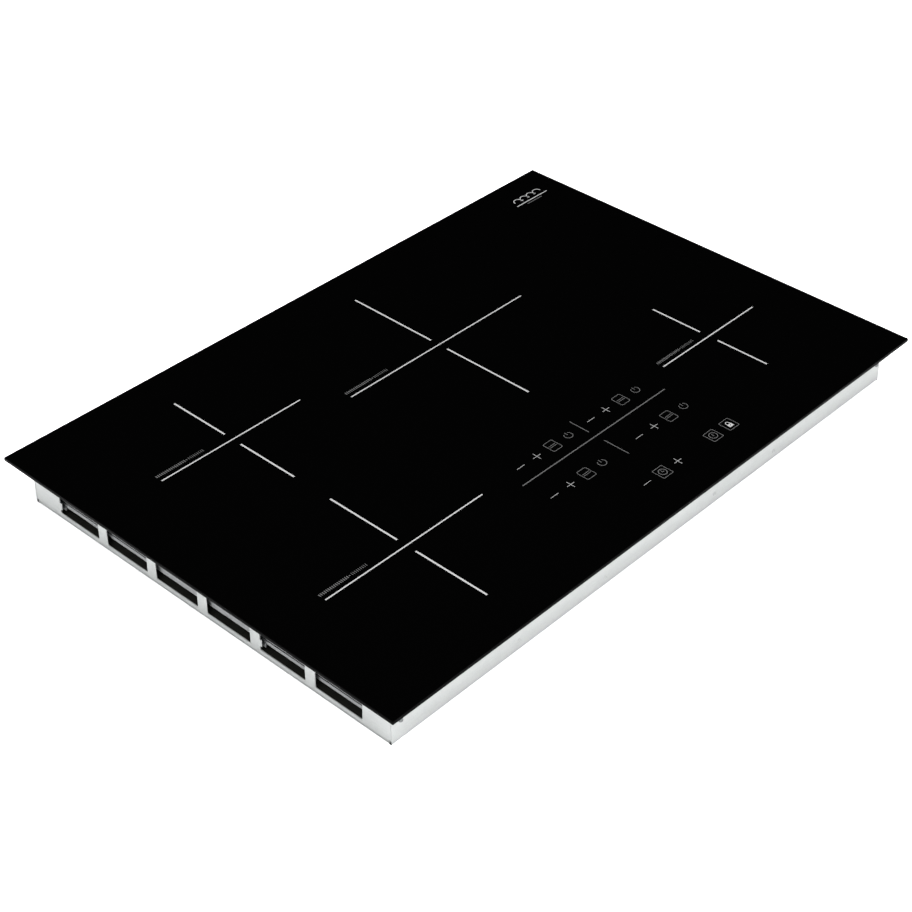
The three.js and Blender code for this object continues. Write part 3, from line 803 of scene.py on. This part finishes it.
def print_panel():
    """Touch keys: four rows of zone keys, a timer row, main power and key lock."""
    dividers = Print("print_dim")
    dividers.bar(307.4, 128.9, 523.5, 128.9, 1.2)
    dividers.bar(415.5, 138.0, 415.5, 162.7, 0.9)
    dividers.bar(415.5, 87.8, 415.5, 118.6, 0.9)
    dividers.piece("print_panel_dividers")

    keys = Print("print_key")
    outlines = Print("print_dim")
    step = 23.3
    for x, y in ((327.9, 149.3), (432.3, 149.6), (316.7, 97.4), (443.4, 97.5)):
        keys.minus(x, y)
        keys.plus(x + step, y)
        outlines.display(x + 2 * step, y)
        outlines.power(x + 3 * step, y)
    keys.minus(MINUS_X, ROW_Y)
    keys.plus(PLUS_X, ROW_Y)
    for x in (TIMER_X, POWER_X, LOCK_X):
        outlines.box_outline(x, ROW_Y, 14.7, 15.5, 1.2)
    keys.piece("print_level_keys")

    keys = Print()
    padlock(keys, LOCK_X, ROW_Y)
    keys.piece("print_padlock")
    outlines.arc(TIMER_X, ROW_Y, 4.3, stroke=0.8)
    outlines.bar(TIMER_X, ROW_Y, TIMER_X, ROW_Y + 2.8, 0.8)
    outlines.bar(TIMER_X, ROW_Y, TIMER_X + 2.2, ROW_Y, 0.8)
    outlines.arc(POWER_X, ROW_Y, 4.4, stroke=0.8)
    outlines.bar(POWER_X, ROW_Y - 1.2, POWER_X, ROW_Y + 2.8, 0.9)
    outlines.piece("print_key_outlines")


def padlock(keys, x, y):
    """Solid body with a keyhole left open and a shackle towards the back."""
    body, shackle = 3.0, 2.1
    keys.bar(x - body, y - 3.3, x + body, y - 3.3, 1.8)
    keys.bar(x - body, y - 0.6, x + body, y - 0.6, 1.2)
    for side in (-1, 1):
        keys.bar(x + side * 0.8, y - 1.8, x + side * body, y - 1.8, 1.2)
        keys.bar(x + side * shackle, y, x + side * shackle, y + 1.6, 0.8)
    keys.arc(x, y + 1.6, shackle, 0, math.pi, 0.8, 16)


def print_emblem():
    """Plain maker's spot at the back right: four coil loops over a base line."""
    emblem = Print()
    x, y, radius = 702.0, 482.0, 5.4
    for i in range(4):
        emblem.arc(x + i * 2 * radius, y, radius, 0, math.pi, 1.0, 18)
    for i in range(3):
        emblem.arc(x + (i + 0.5) * 2 * radius, y, 1.4, math.pi, math.pi, 0.8, 8)
    emblem.bar(x - radius - 4, y - 6.5, x + 7 * radius + 4, y - 6.5, 1.2)
    emblem.piece("print_emblem")
    faint = Print("print_dim")
    faint.bar(x + 4, y - 10.5, x + 6 * radius - 4, y - 10.5, 1.0)
    faint.piece("print_emblem_line")


# ------------------------------------------------------------------ case details

def weld_nuggets():
    """Faint round spot welds where brackets meet the front and rear walls."""
    build = Build()
    for x, z in ((-205, 12), (-85, 10), (82, 12), (180, 10)):
        for wall, outward in ((PAN_LOW.y, -1), (PAN_HIGH.y, 1)):
            root, rim, crown = -0.2 * outward, 0.024 * outward, 0.06 * outward
            profile = [(1.5, root), (2.4, root), (2.3, rim), (2.0, crown), (1.6, rim)]
            build.spin(profile, "zinc", 20, "Y", (x, wall / MM, z))
    build.piece("spot_welds")


def relief_shade_fills():
    """Small black dabs in the bend reliefs at the foot of each end wall: painted shade that stands in for the
    dark, shadowed relief holes.
    """
    build = Build()
    foot, top, rear = 0.6 * MM, 4.4 * MM, 3.6 * MM
    for side in ("vent_panel_left", "side_panel_right"):
        low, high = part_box(side)
        outward = -1 if high.x < 0 else 1
        face = low.x if outward < 0 else high.x
        for end, inward in ((PAN_LOW.y, 1), (PAN_HIGH.y, -1)):
            rings = []
            for depth, shrink in ((-0.3, 1.0), (0.08, 1.0), (0.2, 0.7)):
                x = face + outward * depth * MM
                middle = Vector((x, end + inward * rear * 0.45, (foot + top) / 2))
                corners = [
                    Vector((x, end + inward * 0.3 * MM, foot)),
                    Vector((x, end + inward * rear, foot)),
                    Vector((x, end + inward * rear * 0.7, foot + 1.6 * MM)),
                    Vector((x, end + inward * 0.5 * MM, top)),
                ]
                rings.append([tuple(middle.lerp(corner, shrink)) for corner in corners])
            # The foam look here is painted shade: these dark dabs stand for the shadowed relief holes.
            build.skin(rings, "foam", False, True)
    build.piece("relief_shade_fills")


def shade_sheet_behind_vents():
    """Dark sheet with an upstand and stiffening ribs on the case floor behind the vents: painted shade that
    keeps the inside of the case dark through the vents.
    """
    vents_low, vents_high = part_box("vent_panel_left")
    trays_low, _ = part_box("electronics_tray_front")
    near, far = vents_low.x / MM + 1.3, trays_low.x / MM - 0.3
    front, rear = vents_low.y / MM + 10, vents_high.y / MM - 10
    floor, sheet, ribs = 2.1, 0.5, 24
    build = Build()
    # The black sheet is painted shade for the dark inside of the case.
    build.block((near, front, floor), (far, rear, floor + sheet), "black", 0.1)
    build.block((far - 0.6, front, floor + sheet), (far, rear, floor + 5), "black", 0.1)
    for i in range(ribs):
        y = front + (rear - front) * (i + 0.5) / ribs
        build.block((near + 1.5, y - 0.4, floor + sheet), (far - 1.2, y + 0.4, floor + 1.1), "black", 0.1)
    build.piece("shade_sheet_behind_vents")


def dimple_screws():
    """Countersunk heads in the dimples of the case's underside."""
    build = Build()
    head, arm, depth = 3.4, 2.0, 0.62
    wedge_root, wedge_reach, wedge_sweep, steps = 0.525, 2.04, 1.15, 4
    spots = [(x, side * 115 + y) for side in (-1, 1) for x in (-340, -120, 90) for y in (-100, 100)]
    spots += [(188, 33), (337, 33), (188, 169), (337, 169)]
    for x, y in spots:
        build.spin([(arm, depth), (arm, 0.3), (arm, 0.16), (head * 0.8, 0.2), (head, 0.35), (head, depth)],
                   "screw", 28, at=(x, y, 0))
        build.spin([(0.02, depth), (arm, depth), (arm, 0.4), (0.02, 0.4)],
                   "chip", 24, at=(x, y, 0), closed=False)
        for turn in range(4):
            angle = TAU * (turn + 0.5) / 4
            wedge = [(x + wedge_root * math.cos(angle), y + wedge_root * math.sin(angle))]
            for step in range(steps + 1):
                at = angle + (step / steps - 0.5) * wedge_sweep
                wedge.append((x + wedge_reach * math.cos(at), y + wedge_reach * math.sin(at)))
            build.slab(wedge, 0.15, depth, "screw")
    build.piece("dimple_screws")


def cross_screw(name):
    """Pan-head screw with a cross recess, standing for one CAD case screw."""
    low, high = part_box(name)
    outward = -1 if high.y < 0 else 1
    face = PAN_LOW.y if outward < 0 else PAN_HIGH.y
    centre = ((low.x + high.x) / 2, face, (low.z + high.z) / 2)
    shank, crest, root = 7.0, 1.4, 1.05
    head_radius = (high.x - low.x) / 2 / MM
    head_height = (high.y - low.y) / MM - shank
    profile = [(0.05, -shank), (1.2, 0.6 - shank)]
    for turn in range(7):
        at = turn * 0.9 - 6.0
        profile += [(crest, at), (root, at + 0.45)]
    profile += [(crest, 0), (head_radius, 0)]
    for step in range(1, 6):
        angle = step / 6 * math.pi / 2
        profile.append((head_radius - (1 - math.cos(angle)) * 1.2, head_height * math.sin(angle)))
    profile.append((0.05, head_height))
    build = Build(centre)
    build.spin([(radius, outward * reach) for radius, reach in profile], "screw", 28, "Y", closed=False)
    piece = build.piece(f"{name}_detailed", stands_for=(name,))
    cut_cross(piece, centre, face + outward * head_height * MM)


def cut_cross(piece, centre, face):
    """Cuts the two crossed slots of a screw head, and applies the cut."""
    for width, height in ((0.6, 2.6), (2.6, 0.6)):
        cutter = Build()
        cutter.box((centre[0] - width / 2 * MM, face - 0.8 * MM, centre[2] - height / 2 * MM),
                   (centre[0] + width / 2 * MM, face + 0.8 * MM, centre[2] + height / 2 * MM), "screw")
        bmesh.ops.recalc_face_normals(cutter.mesh, faces=cutter.mesh.faces[:])
        data = bpy.data.meshes.new("cutter")
        cutter.mesh.to_mesh(data)
        cutter.mesh.free()
        tool = bpy.data.objects.new("cutter", data)
        bpy.context.scene.collection.objects.link(tool)
        boolean = piece.modifiers.new("cross", "BOOLEAN")
        boolean.operation = "DIFFERENCE"
        boolean.solver = "EXACT"
        boolean.object = tool
        bpy.context.view_layer.update()
        shape = bpy.data.meshes.new_from_object(piece.evaluated_get(bpy.context.evaluated_depsgraph_get()))
        piece.modifiers.clear()
        piece.data = shape
        bpy.data.objects.remove(tool)


def cable_gland():
    """Gland with a six-sided collar, a ribbed dome nut and a rubber seal in its mouth."""
    low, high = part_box("cable_gland")
    wall = PAN_HIGH.y
    start, end = (low.y - wall) / MM, (high.y - wall) / MM
    across = (high.x - low.x) / 2 / MM
    bore, collar = 5.2, 5.0
    build = Build(((low.x + high.x) / 2, wall, (low.z + high.z) / 2))
    sleeve = [(bore, start), (7.6, start)]
    for turn in range(5):
        at = start + 0.6 + turn * 1.5
        sleeve += [(8.0, at), (7.4, at + 0.75)]
    sleeve += [(8.0, 0), (bore, 0)]
    build.spin(sleeve, "black", 40, "Y")
    for outer, y0, y1, sides in ((across, 0, collar - 0.4, 6), (9.6, collar - 0.4, end - 1.2, 40)):
        build.spin([(bore, y0), (outer - 0.5, y0), (outer, y0 + 0.5), (outer, y1 - 0.5),
                    (outer - 0.5, y1), (bore, y1)], "black", sides, "Y", smooth=sides > 6)
    for x, z in circle(9.5, 18):
        build.wire([(x, collar + 0.2, z), (x, end - 2.0, z)], 0.55, "black", 8)
    build.spin([(4.9, end - 3.5), (8.6, end - 3.5), (8.6, end - 1.0), (7.4, end - 0.2), (5.8, end),
                (4.9, end - 0.8)], "foam", 40, "Y")
    build.piece("cable_gland_detailed", stands_for=("cable_gland",))


# ------------------------------------------------------------------ coils

def zone_centre(zone):
    """X, Y and radius of a zone's coil carrier."""
    low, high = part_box(f"coil_carrier_{zone}")
    return (low.x + high.x) / 2, (low.y + high.y) / 2, (high.x - low.x) / 2


def coil_winding(zone):
    """Flat spiral of stranded wire, from the inner turn to the rim."""
    low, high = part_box(f"coil_winding_{zone}")
    x, y, _ = zone_centre(zone)
    inner, outer = 26.5 * MM, (high.x - low.x) / 2 - 2.4 * MM
    pitch, width = 5.0 * MM, 4.7 * MM
    height = (high.z - low.z) * 0.96
    middle = (low.z + high.z) / 2
    turns = (outer - inner) / pitch
    points_per_turn = 56
    steps = int(turns * points_per_turn)
    points = []
    for i in range(steps + 1):
        share = i / steps
        angle = TAU * turns * share
        radius = inner + (outer - inner) * share
        points.append((x + radius * math.cos(angle), y + radius * math.sin(angle), middle))
    build = Build()
    build.tube(points, width / 2, "copper", 10, height / width)
    build.piece(f"coil_spiral_{zone}", stands_for=(f"coil_winding_{zone}",))


def ferrite_count(radius):
    """Bars under a coil of this radius; bar i lies at (i + 0.25) / count of a turn."""
    return 8 if radius > 90 * MM else 6


def coil_ferrites(zone):
    """Radial ferrite bars under the carrier."""
    x, y, radius = zone_centre(zone)
    low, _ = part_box(f"coil_winding_{zone}")
    top = low.z - 2 * MM
    count = ferrite_count(radius)
    build = Build()
    for i in range(count):
        angle = TAU * (i + 0.25) / count
        along = Vector((math.cos(angle), math.sin(angle)))
        side = Vector((-along.y, along.x)) * 6.5 * MM
        near, far = 26 * MM, radius * 0.94
        corners = [along * near - side, along * far - side, along * far + side, along * near + side]
        build.prism([(x + c.x, y + c.y) for c in corners], top - 4.5 * MM, top, "ferrite", 0.5 * MM)
    build.piece(f"ferrite_bars_{zone}")


def coil_leads(zone):
    """Two sleeved leads from the winding, between two ferrite bars, to a splice block on the tray.

    They stay above the tray, because the rear blower's wheel turns under the rear centre coil.
    """
    x, y, radius = zone_centre(zone)
    rim = radius / MM
    gap = TAU * 0.75 / ferrite_count(radius)
    along = Vector((math.cos(gap), math.sin(gap)))
    across = Vector((-along.y, along.x))
    near, far, half = 34, 46, 6
    wire_level, plate_level, run = 12.8, 6, 2.8
    inner = [(27, wire_level), (28, plate_level), (30.5, run), (near + 1, run)]
    outer = [(rim - 6, wire_level), (rim - 7, plate_level), (rim - 11, run), (far - 1, run)]
    build = Build((x, y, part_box("coil_tray_left")[1].z))
    for path, side, look in ((inner, -1, "white"), (outer, 1, "red_wire")):
        curve = [(*(along * reach + across * (side * 2.2)), z) for reach, z in path]
        build.wire(smooth_path(finer(curve, 4), 3), 1.5, look, 8)
    corners = [along * near - across * half, along * far - across * half,
               along * far + across * half, along * near + across * half]
    build.slab(corners, 0.1, run + 2.6, "chip", 0.5)
    build.piece(f"coil_leads_{zone}")


def sensor_clip(zone):
    """Spring clip and metal cap of the temperature sensor."""
    low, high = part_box(f"coil_sensor_{zone}")
    top = (high.z - low.z) / MM
    build = Build(((low.x + high.x) / 2, (low.y + high.y) / 2, low.z))
    build.spin([(0.2, top - 0.05), (4.4, top - 0.05), (4.4, top + 0.1), (0.2, top + 0.1)], "aluminium", 28)
    build.wire(helix(6.9, 0.8, 7.08, 60), 0.35, "screw")
    build.piece(f"sensor_spring_{zone}")


# ------------------------------------------------------------------ power modules

def impeller(side):
    """Wheel with closely spaced curved blades, for the plain CAD wheel."""
    name = f"impeller_{side}"
    low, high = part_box(name)
    rim, top = (high.x - low.x) / 2 / MM, (high.z - low.z) / MM
    build = Build(((low.x + high.x) / 2, (low.y + high.y) / 2, low.z))
    build.spin([(16.5, top - 1.5), (rim, top - 1.5), (rim, top - 0.3), (rim - 0.3, top), (17, top),
                (16.5, top - 0.5)], "black", 72)
    build.spin([(0.1, 0.4), (14, 0.4), (14.4, 0), (16.8, 0), (17.6, 0.4), (18, 1.2), (18, top - 0.6),
                (16.5, top - 0.6), (16.5, 1.5), (0.1, 1.5)], "black", 72)
    build.spin([(38, 0), (rim, 0), (rim, 1.5), (38, 1.5)], "black", 72, smooth=False)
    blades, steps, sweep = 36, 5, 0.22
    for i in range(blades):
        sides = []
        for offset in (-0.35, 0.35):
            arc = []
            for k in range(steps + 1):
                share = k / steps
                radius = 30 + 11.2 * share + offset * 0.2
                angle = TAU * i / blades + sweep * share ** 2 + offset * 0.022
                arc.append((radius * math.cos(angle), radius * math.sin(angle)))
            sides.append(arc)
        build.slab(sides[0] + sides[1][::-1], 1.0, top - 1.0, "black")
    for x, y in circle(12, 3):
        build.spin([(0.6, 0), (1.6, 0), (1.6, 0.6), (0.6, 0.6)], "chip", 16, at=(x, y, 0))
    build.piece(f"fan_wheel_detailed_{side}", WHEELS[side], stands_for=(name,))


def stator_windings(side):
    """Copper coils on the six teeth of the blower motor."""
    low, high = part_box(f"blower_stator_{side}")
    build = Build((low + high) / 2)
    for i in range(6):
        angle = TAU * (i + 0.5) / 6
        along = Vector((math.cos(angle), math.sin(angle), 0))
        across = Vector((-along.y, along.x, 0))
        for turn in range(4):
            centre = along * (7.4 + turn * 1.3)
            ring = [centre + across * a + Vector((0, 0, b)) for a, b in round_rectangle(3.4, 4.6, 1.4, 3)]
            build.wire([*ring, ring[0]], 0.6, "copper")
    build.piece(f"stator_windings_{side}")


def resistor(build, x, y, height, legs, leg_radius, body, sides):
    """A resistor lying along Y on two bent legs; body is one half of its profile."""
    build.wire([(x, y - legs, -0.2), (x, y - legs, height), (x, y + legs, height), (x, y + legs, -0.2)],
               leg_radius, "screw")
    profile = [(radius, -reach) for radius, reach in body] + body[::-1]
    build.spin(profile, "white", sides, "Y", (x, y, height))


def power_components(side):
    """Parts soldered on a power board: transistors, relays, electrolytics, chokes and connectors."""
    low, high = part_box(f"power_board_{side}")
    sink = (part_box(f"heatsink_{side}")[0] - low) / MM
    depth = (high.y - low.y) / MM
    build = Build((low.x, low.y, high.z))
    for i in range(5):
        x, y = sink.x + 28 + i * 48, sink.y - 2.6
        build.block((x - 8, y - 2.4, 3), (x + 8, y + 2.4, 17), "chip", 0.5)
        for leg in (-5, 0, 5):
            build.wire([(x + leg, y, 3.2), (x + leg, y, -0.2)], 0.5, "screw")
    for i in range(4):
        build.spin([(0.1, 0), (9, 0), (9.2, 1.2), (8.8, 2), (9.2, 2.8), (9.2, 15.4), (8.6, 16), (0.1, 15.6)],
                   "film", 36, at=(30 + i * 24, 24, 0))
    for i in range(3):
        x = 150 + i * 32
        build.block((x - 12, 14, 0), (x + 12, 30, 14), "chip", 0.8)
    for i in range(9):
        resistor(build, 22 + i * 14, depth / 2 + 4, 2.6, 5, 0.35, [(0.1, 3.2), (1.6, 3), (1.4, 1.8)], 14)
    for x, y, long in ((180, depth / 2 + 8, 22), (230, depth / 2 + 10, 16)):
        build.block((x, y, 0), (x + long, y + 9, 9), "white", 0.5)
        build.block((x + 1.4, y + 1.4, 8.6), (x + long - 1.4, y + 7.6, 9.1), "chip", 0.2)
    for i in range(2):
        board_choke(build, 40 + i * 60, depth - 26)
    build.piece(f"power_components_{side}")


def board_choke(build, x, y, turns=14, steps=12):
    """A small ring core with one winding all the way round."""
    for turn in range(turns):
        angle = TAU * turn / turns
        ring = []
        for k in range(steps + 1):
            around = TAU * k / steps
            reach = 10 + 4.6 * math.cos(around)
            height = 6 + 5.2 * math.sin(around)
            ring.append((x + reach * math.cos(angle), y + reach * math.sin(angle), height))
        build.wire(ring, 0.8, "copper")
    build.spin([(6.6, 2.2), (13.4, 2.2), (13.4, 9.8), (6.6, 9.8)], "ferrite", 32, at=(x, y, 0), smooth=False)


def blower_lead(side):
    """Twisted pair from the wall of the blower to its connector on the power board."""
    housing_low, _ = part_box(f"blower_housing_{side}")
    wheel_low, wheel_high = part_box(f"impeller_{side}")
    board_low, board_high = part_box(f"power_board_{side}")
    way = math.radians(190)
    wall = 49.9 * MM
    start = Vector((
        (wheel_low.x + wheel_high.x) / 2 + wall * math.cos(way),
        (wheel_low.y + wheel_high.y) / 2 + wall * math.sin(way),
        housing_low.z + 10 * MM,
    ))
    end = Vector((board_low.x + 245 * MM, (board_low.y + board_high.y) / 2 + 14 * MM, board_high.z + 5 * MM))
    build = Build()
    for phase, look in ((0, "red_wire"), (math.pi, "chip")):
        points = []
        for i in range(41):
            share = i / 40
            point = start.lerp(end, share)
            point.z += 6 * MM * math.sin(math.pi * share)
            twist = phase + share * TAU * 5
            point += Vector((math.cos(twist), 0, math.sin(twist))) * 1.0 * MM
            points.append(point)
        build.tube(points, 0.8 * MM, look, 6)
    build.piece(f"blower_lead_{side}")


def capacitor_cases(side):
    """Film capacitors with round edges, for the plain CAD blocks."""
    low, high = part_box(f"capacitor_bank_{side}")
    width, depth, height = (high - low) / MM
    build = Build(low)
    build.block((0, 0, 0), (width, depth, 1.4), "film", 0.4)
    for x in (3, 58, 113):
        build.block((x, 2, 0.4), (x + 42, depth - 2, height), "film", 1.6)
    build.piece(f"capacitor_cases_{side}", stands_for=(f"capacitor_bank_{side}",))


# ------------------------------------------------------------------ mains filter and panel

def filter_choke():
    """Ring core with two windings, for the plain CAD ring."""
    low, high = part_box("filter_choke")
    half = (high.z - low.z) / 2 / MM
    core = half - 1.6
    build = Build((low + high) / 2)
    build.spin([(8.6, -core), (15.4, -core), (15.4, core), (8.6, core)], "ferrite", smooth=False)
    for start in (0, math.pi):
        for turn in range(11):
            angle = start + math.radians(22 + turn * 13.6)
            ring = []
            for a, b in round_rectangle(4.2, half - 0.8, 1.2, 3):
                ring.append(((12 + a) * math.cos(angle), (12 + a) * math.sin(angle), b))
            build.wire([*ring, ring[0]], 0.75, "copper")
    build.piece("filter_choke_wound", stands_for=("filter_choke",))


def terminal_screws():
    """Clamp screws and plated cages in the terminal block's chambers."""
    build = Build(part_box("terminal_block")[0])
    y = 14
    for i in range(5):
        x = 8 + 12 * i
        build.block((x - 3.6, y - 5, 5.2), (x + 3.6, y + 5, 13), "aluminium", 0.5)
        build.spin([(0.1, 13), (2.7, 13), (2.7, 14.6), (2.3, 15), (0.1, 15)], "screw", 20, at=(x, y, 0))
        build.block((x - 2.3, y - 0.35, 14.6), (x + 2.3, y + 0.35, 15.1), "chip")
    build.piece("terminal_screws")


def filter_components():
    """Relay, film capacitor and four discharge resistors on the filter board."""
    low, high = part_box("filter_board")
    build = Build((low.x, low.y, high.z))
    build.block((12, 92, 0), (40, 106, 16), "chip", 0.8)
    build.block((50, 92, 0), (76, 104, 14), "film", 1.4)
    for i in range(4):
        resistor(build, 92 + i * 13, 30, 2.8, 8, 0.4, [(0.1, 5), (2.4, 4.8), (2.1, 3)], 18)
    build.piece("filter_components")


def supply_wires():
    """Insulated wires from the terminal block to the filter board and on to the power boards."""
    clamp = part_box("terminal_block")[0] / MM
    filter_low, filter_high = (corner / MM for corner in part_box("filter_board"))
    build = Build()
    for i, look in enumerate(("red_wire", "chip", "white")):
        x = clamp.x + 8 + 12 * i
        path = [
            (x, clamp.y + 3, clamp.z + 9),
            (x - 4, clamp.y - 8, clamp.z + 11),
            (x - 12, filter_high.y - 4, filter_high.z + 8),
            (x - 16, filter_high.y - 16, filter_high.z + 1),
        ]
        build.wire(smooth_path(finer(path, 6), 4), 1.3, look, 8)
    for side in ("rear", "front"):
        board_low, board_high = (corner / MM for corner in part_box(f"power_board_{side}"))
        for i, look in enumerate(("red_wire", "chip")):
            y = board_low.y + 10 + 5 * i
            path = [
                (filter_low.x + 10, filter_low.y + 20 + 6 * i, filter_high.z + 3),
                (filter_low.x - 20, filter_low.y + 14 + 5 * i, 14),
                (120, (filter_low.y + y) / 2, 12),
                (110, y, 12),
                (20, y - 3, 12),
                (board_high.x - 12, y, board_high.z + 1.5),
            ]
            build.wire(smooth_path(finer(path, 8), 6), 1.3, look, 8)
    build.piece("supply_wires")


def touch_springs():
    """Contact springs between the touch board and the glass under the front row of keys."""
    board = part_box("control_board")[1].z
    rise = (GLASS_LOW.z - board) / MM - 0.6
    build = Build((GLASS_LOW.x, GLASS_LOW.y, board))
    for key in (MINUS_X, TIMER_X, PLUS_X, POWER_X, LOCK_X):
        build.wire(helix(4, 0.3, rise, 73, (key, ROW_Y)), 0.3, "screw")
    build.piece("touch_springs")


# ------------------------------------------------------------------ finishes of the CAD pieces

# Look and edge width in millimetres of each CAD node that stays in view.
CAD_LOOKS = {
    "base_pan": ("zinc", 0.25),
    "vent_panel_left": ("zinc", 0.2),
    "side_panel_right": ("zinc", 0.2),
    "glass_frame": ("zinc", 0.15),
    "adhesive_bead": ("silicone", 0.3),
    "glass_gasket": ("foam", 0.5),
    "gland_nut": ("black", 0.4),
    "terminal_block": ("white", 0.3),
    "filter_tray": ("black", 0.3),
    "filter_board": ("board", 0.1),
    "filter_capacitor": ("film", 1.5),
    # The coil trays take the darker aluminium, which is painted shade for the recess behind the vents.
    "coil_tray_left": ("shaded_tray_aluminium", 0.2),
    "coil_tray_right": ("shaded_tray_aluminium", 0.2),
    "control_holder": ("black", 0.3),
    "control_board": ("board", 0.1),
    "display_guide": ("white", 0.3),
    "ribbon_cable": ("ribbon", 0.0),
}
MODULE_LOOKS = {
    "electronics_tray": ("black", 0.3),
    "power_board": ("board", 0.1),
    "heatsink": ("aluminium", 0.15),
    "blower_housing": ("black", 0.4),
    "blower_shaft": ("screw", 0.1),
    "blower_bearing": ("screw", 0.1),
    "blower_stator": ("ferrite", 0.1),
}
ZONE_LOOKS = {
    "coil_carrier": ("black", 0.3),
    "coil_mica": ("mica", 0.1),
    "coil_sensor": ("white", 0.5),
}

for node_name, (look_name, edge_width) in CAD_LOOKS.items():
    paint_node(node_name, look_name, edge_width)
for module in ("rear", "front"):
    for node_name, (look_name, edge_width) in MODULE_LOOKS.items():
        paint_node(f"{node_name}_{module}", look_name, edge_width)
for zone_name in ZONES:
    for node_name, (look_name, edge_width) in ZONE_LOOKS.items():
        paint_node(f"{node_name}_{zone_name}", look_name, edge_width)

build_glass()
print_zones()
print_panel()
print_emblem()
weld_nuggets()
relief_shade_fills()
shade_sheet_behind_vents()
dimple_screws()
for screw_name in ("front_left", "front_right", "rear_left", "rear_right"):
    cross_screw(f"case_screw_{screw_name}")
cable_gland()
for zone_name in ZONES:
    coil_winding(zone_name)
    coil_ferrites(zone_name)
    coil_leads(zone_name)
    sensor_clip(zone_name)
for module in ("rear", "front"):
    impeller(module)
    stator_windings(module)
    power_components(module)
    blower_lead(module)
    capacitor_cases(module)
filter_choke()
terminal_screws()
filter_components()
supply_wires()
touch_springs()

bpy.context.scene.view_settings.view_transform = "Standard"
bpy.context.scene.view_settings.look = "None"
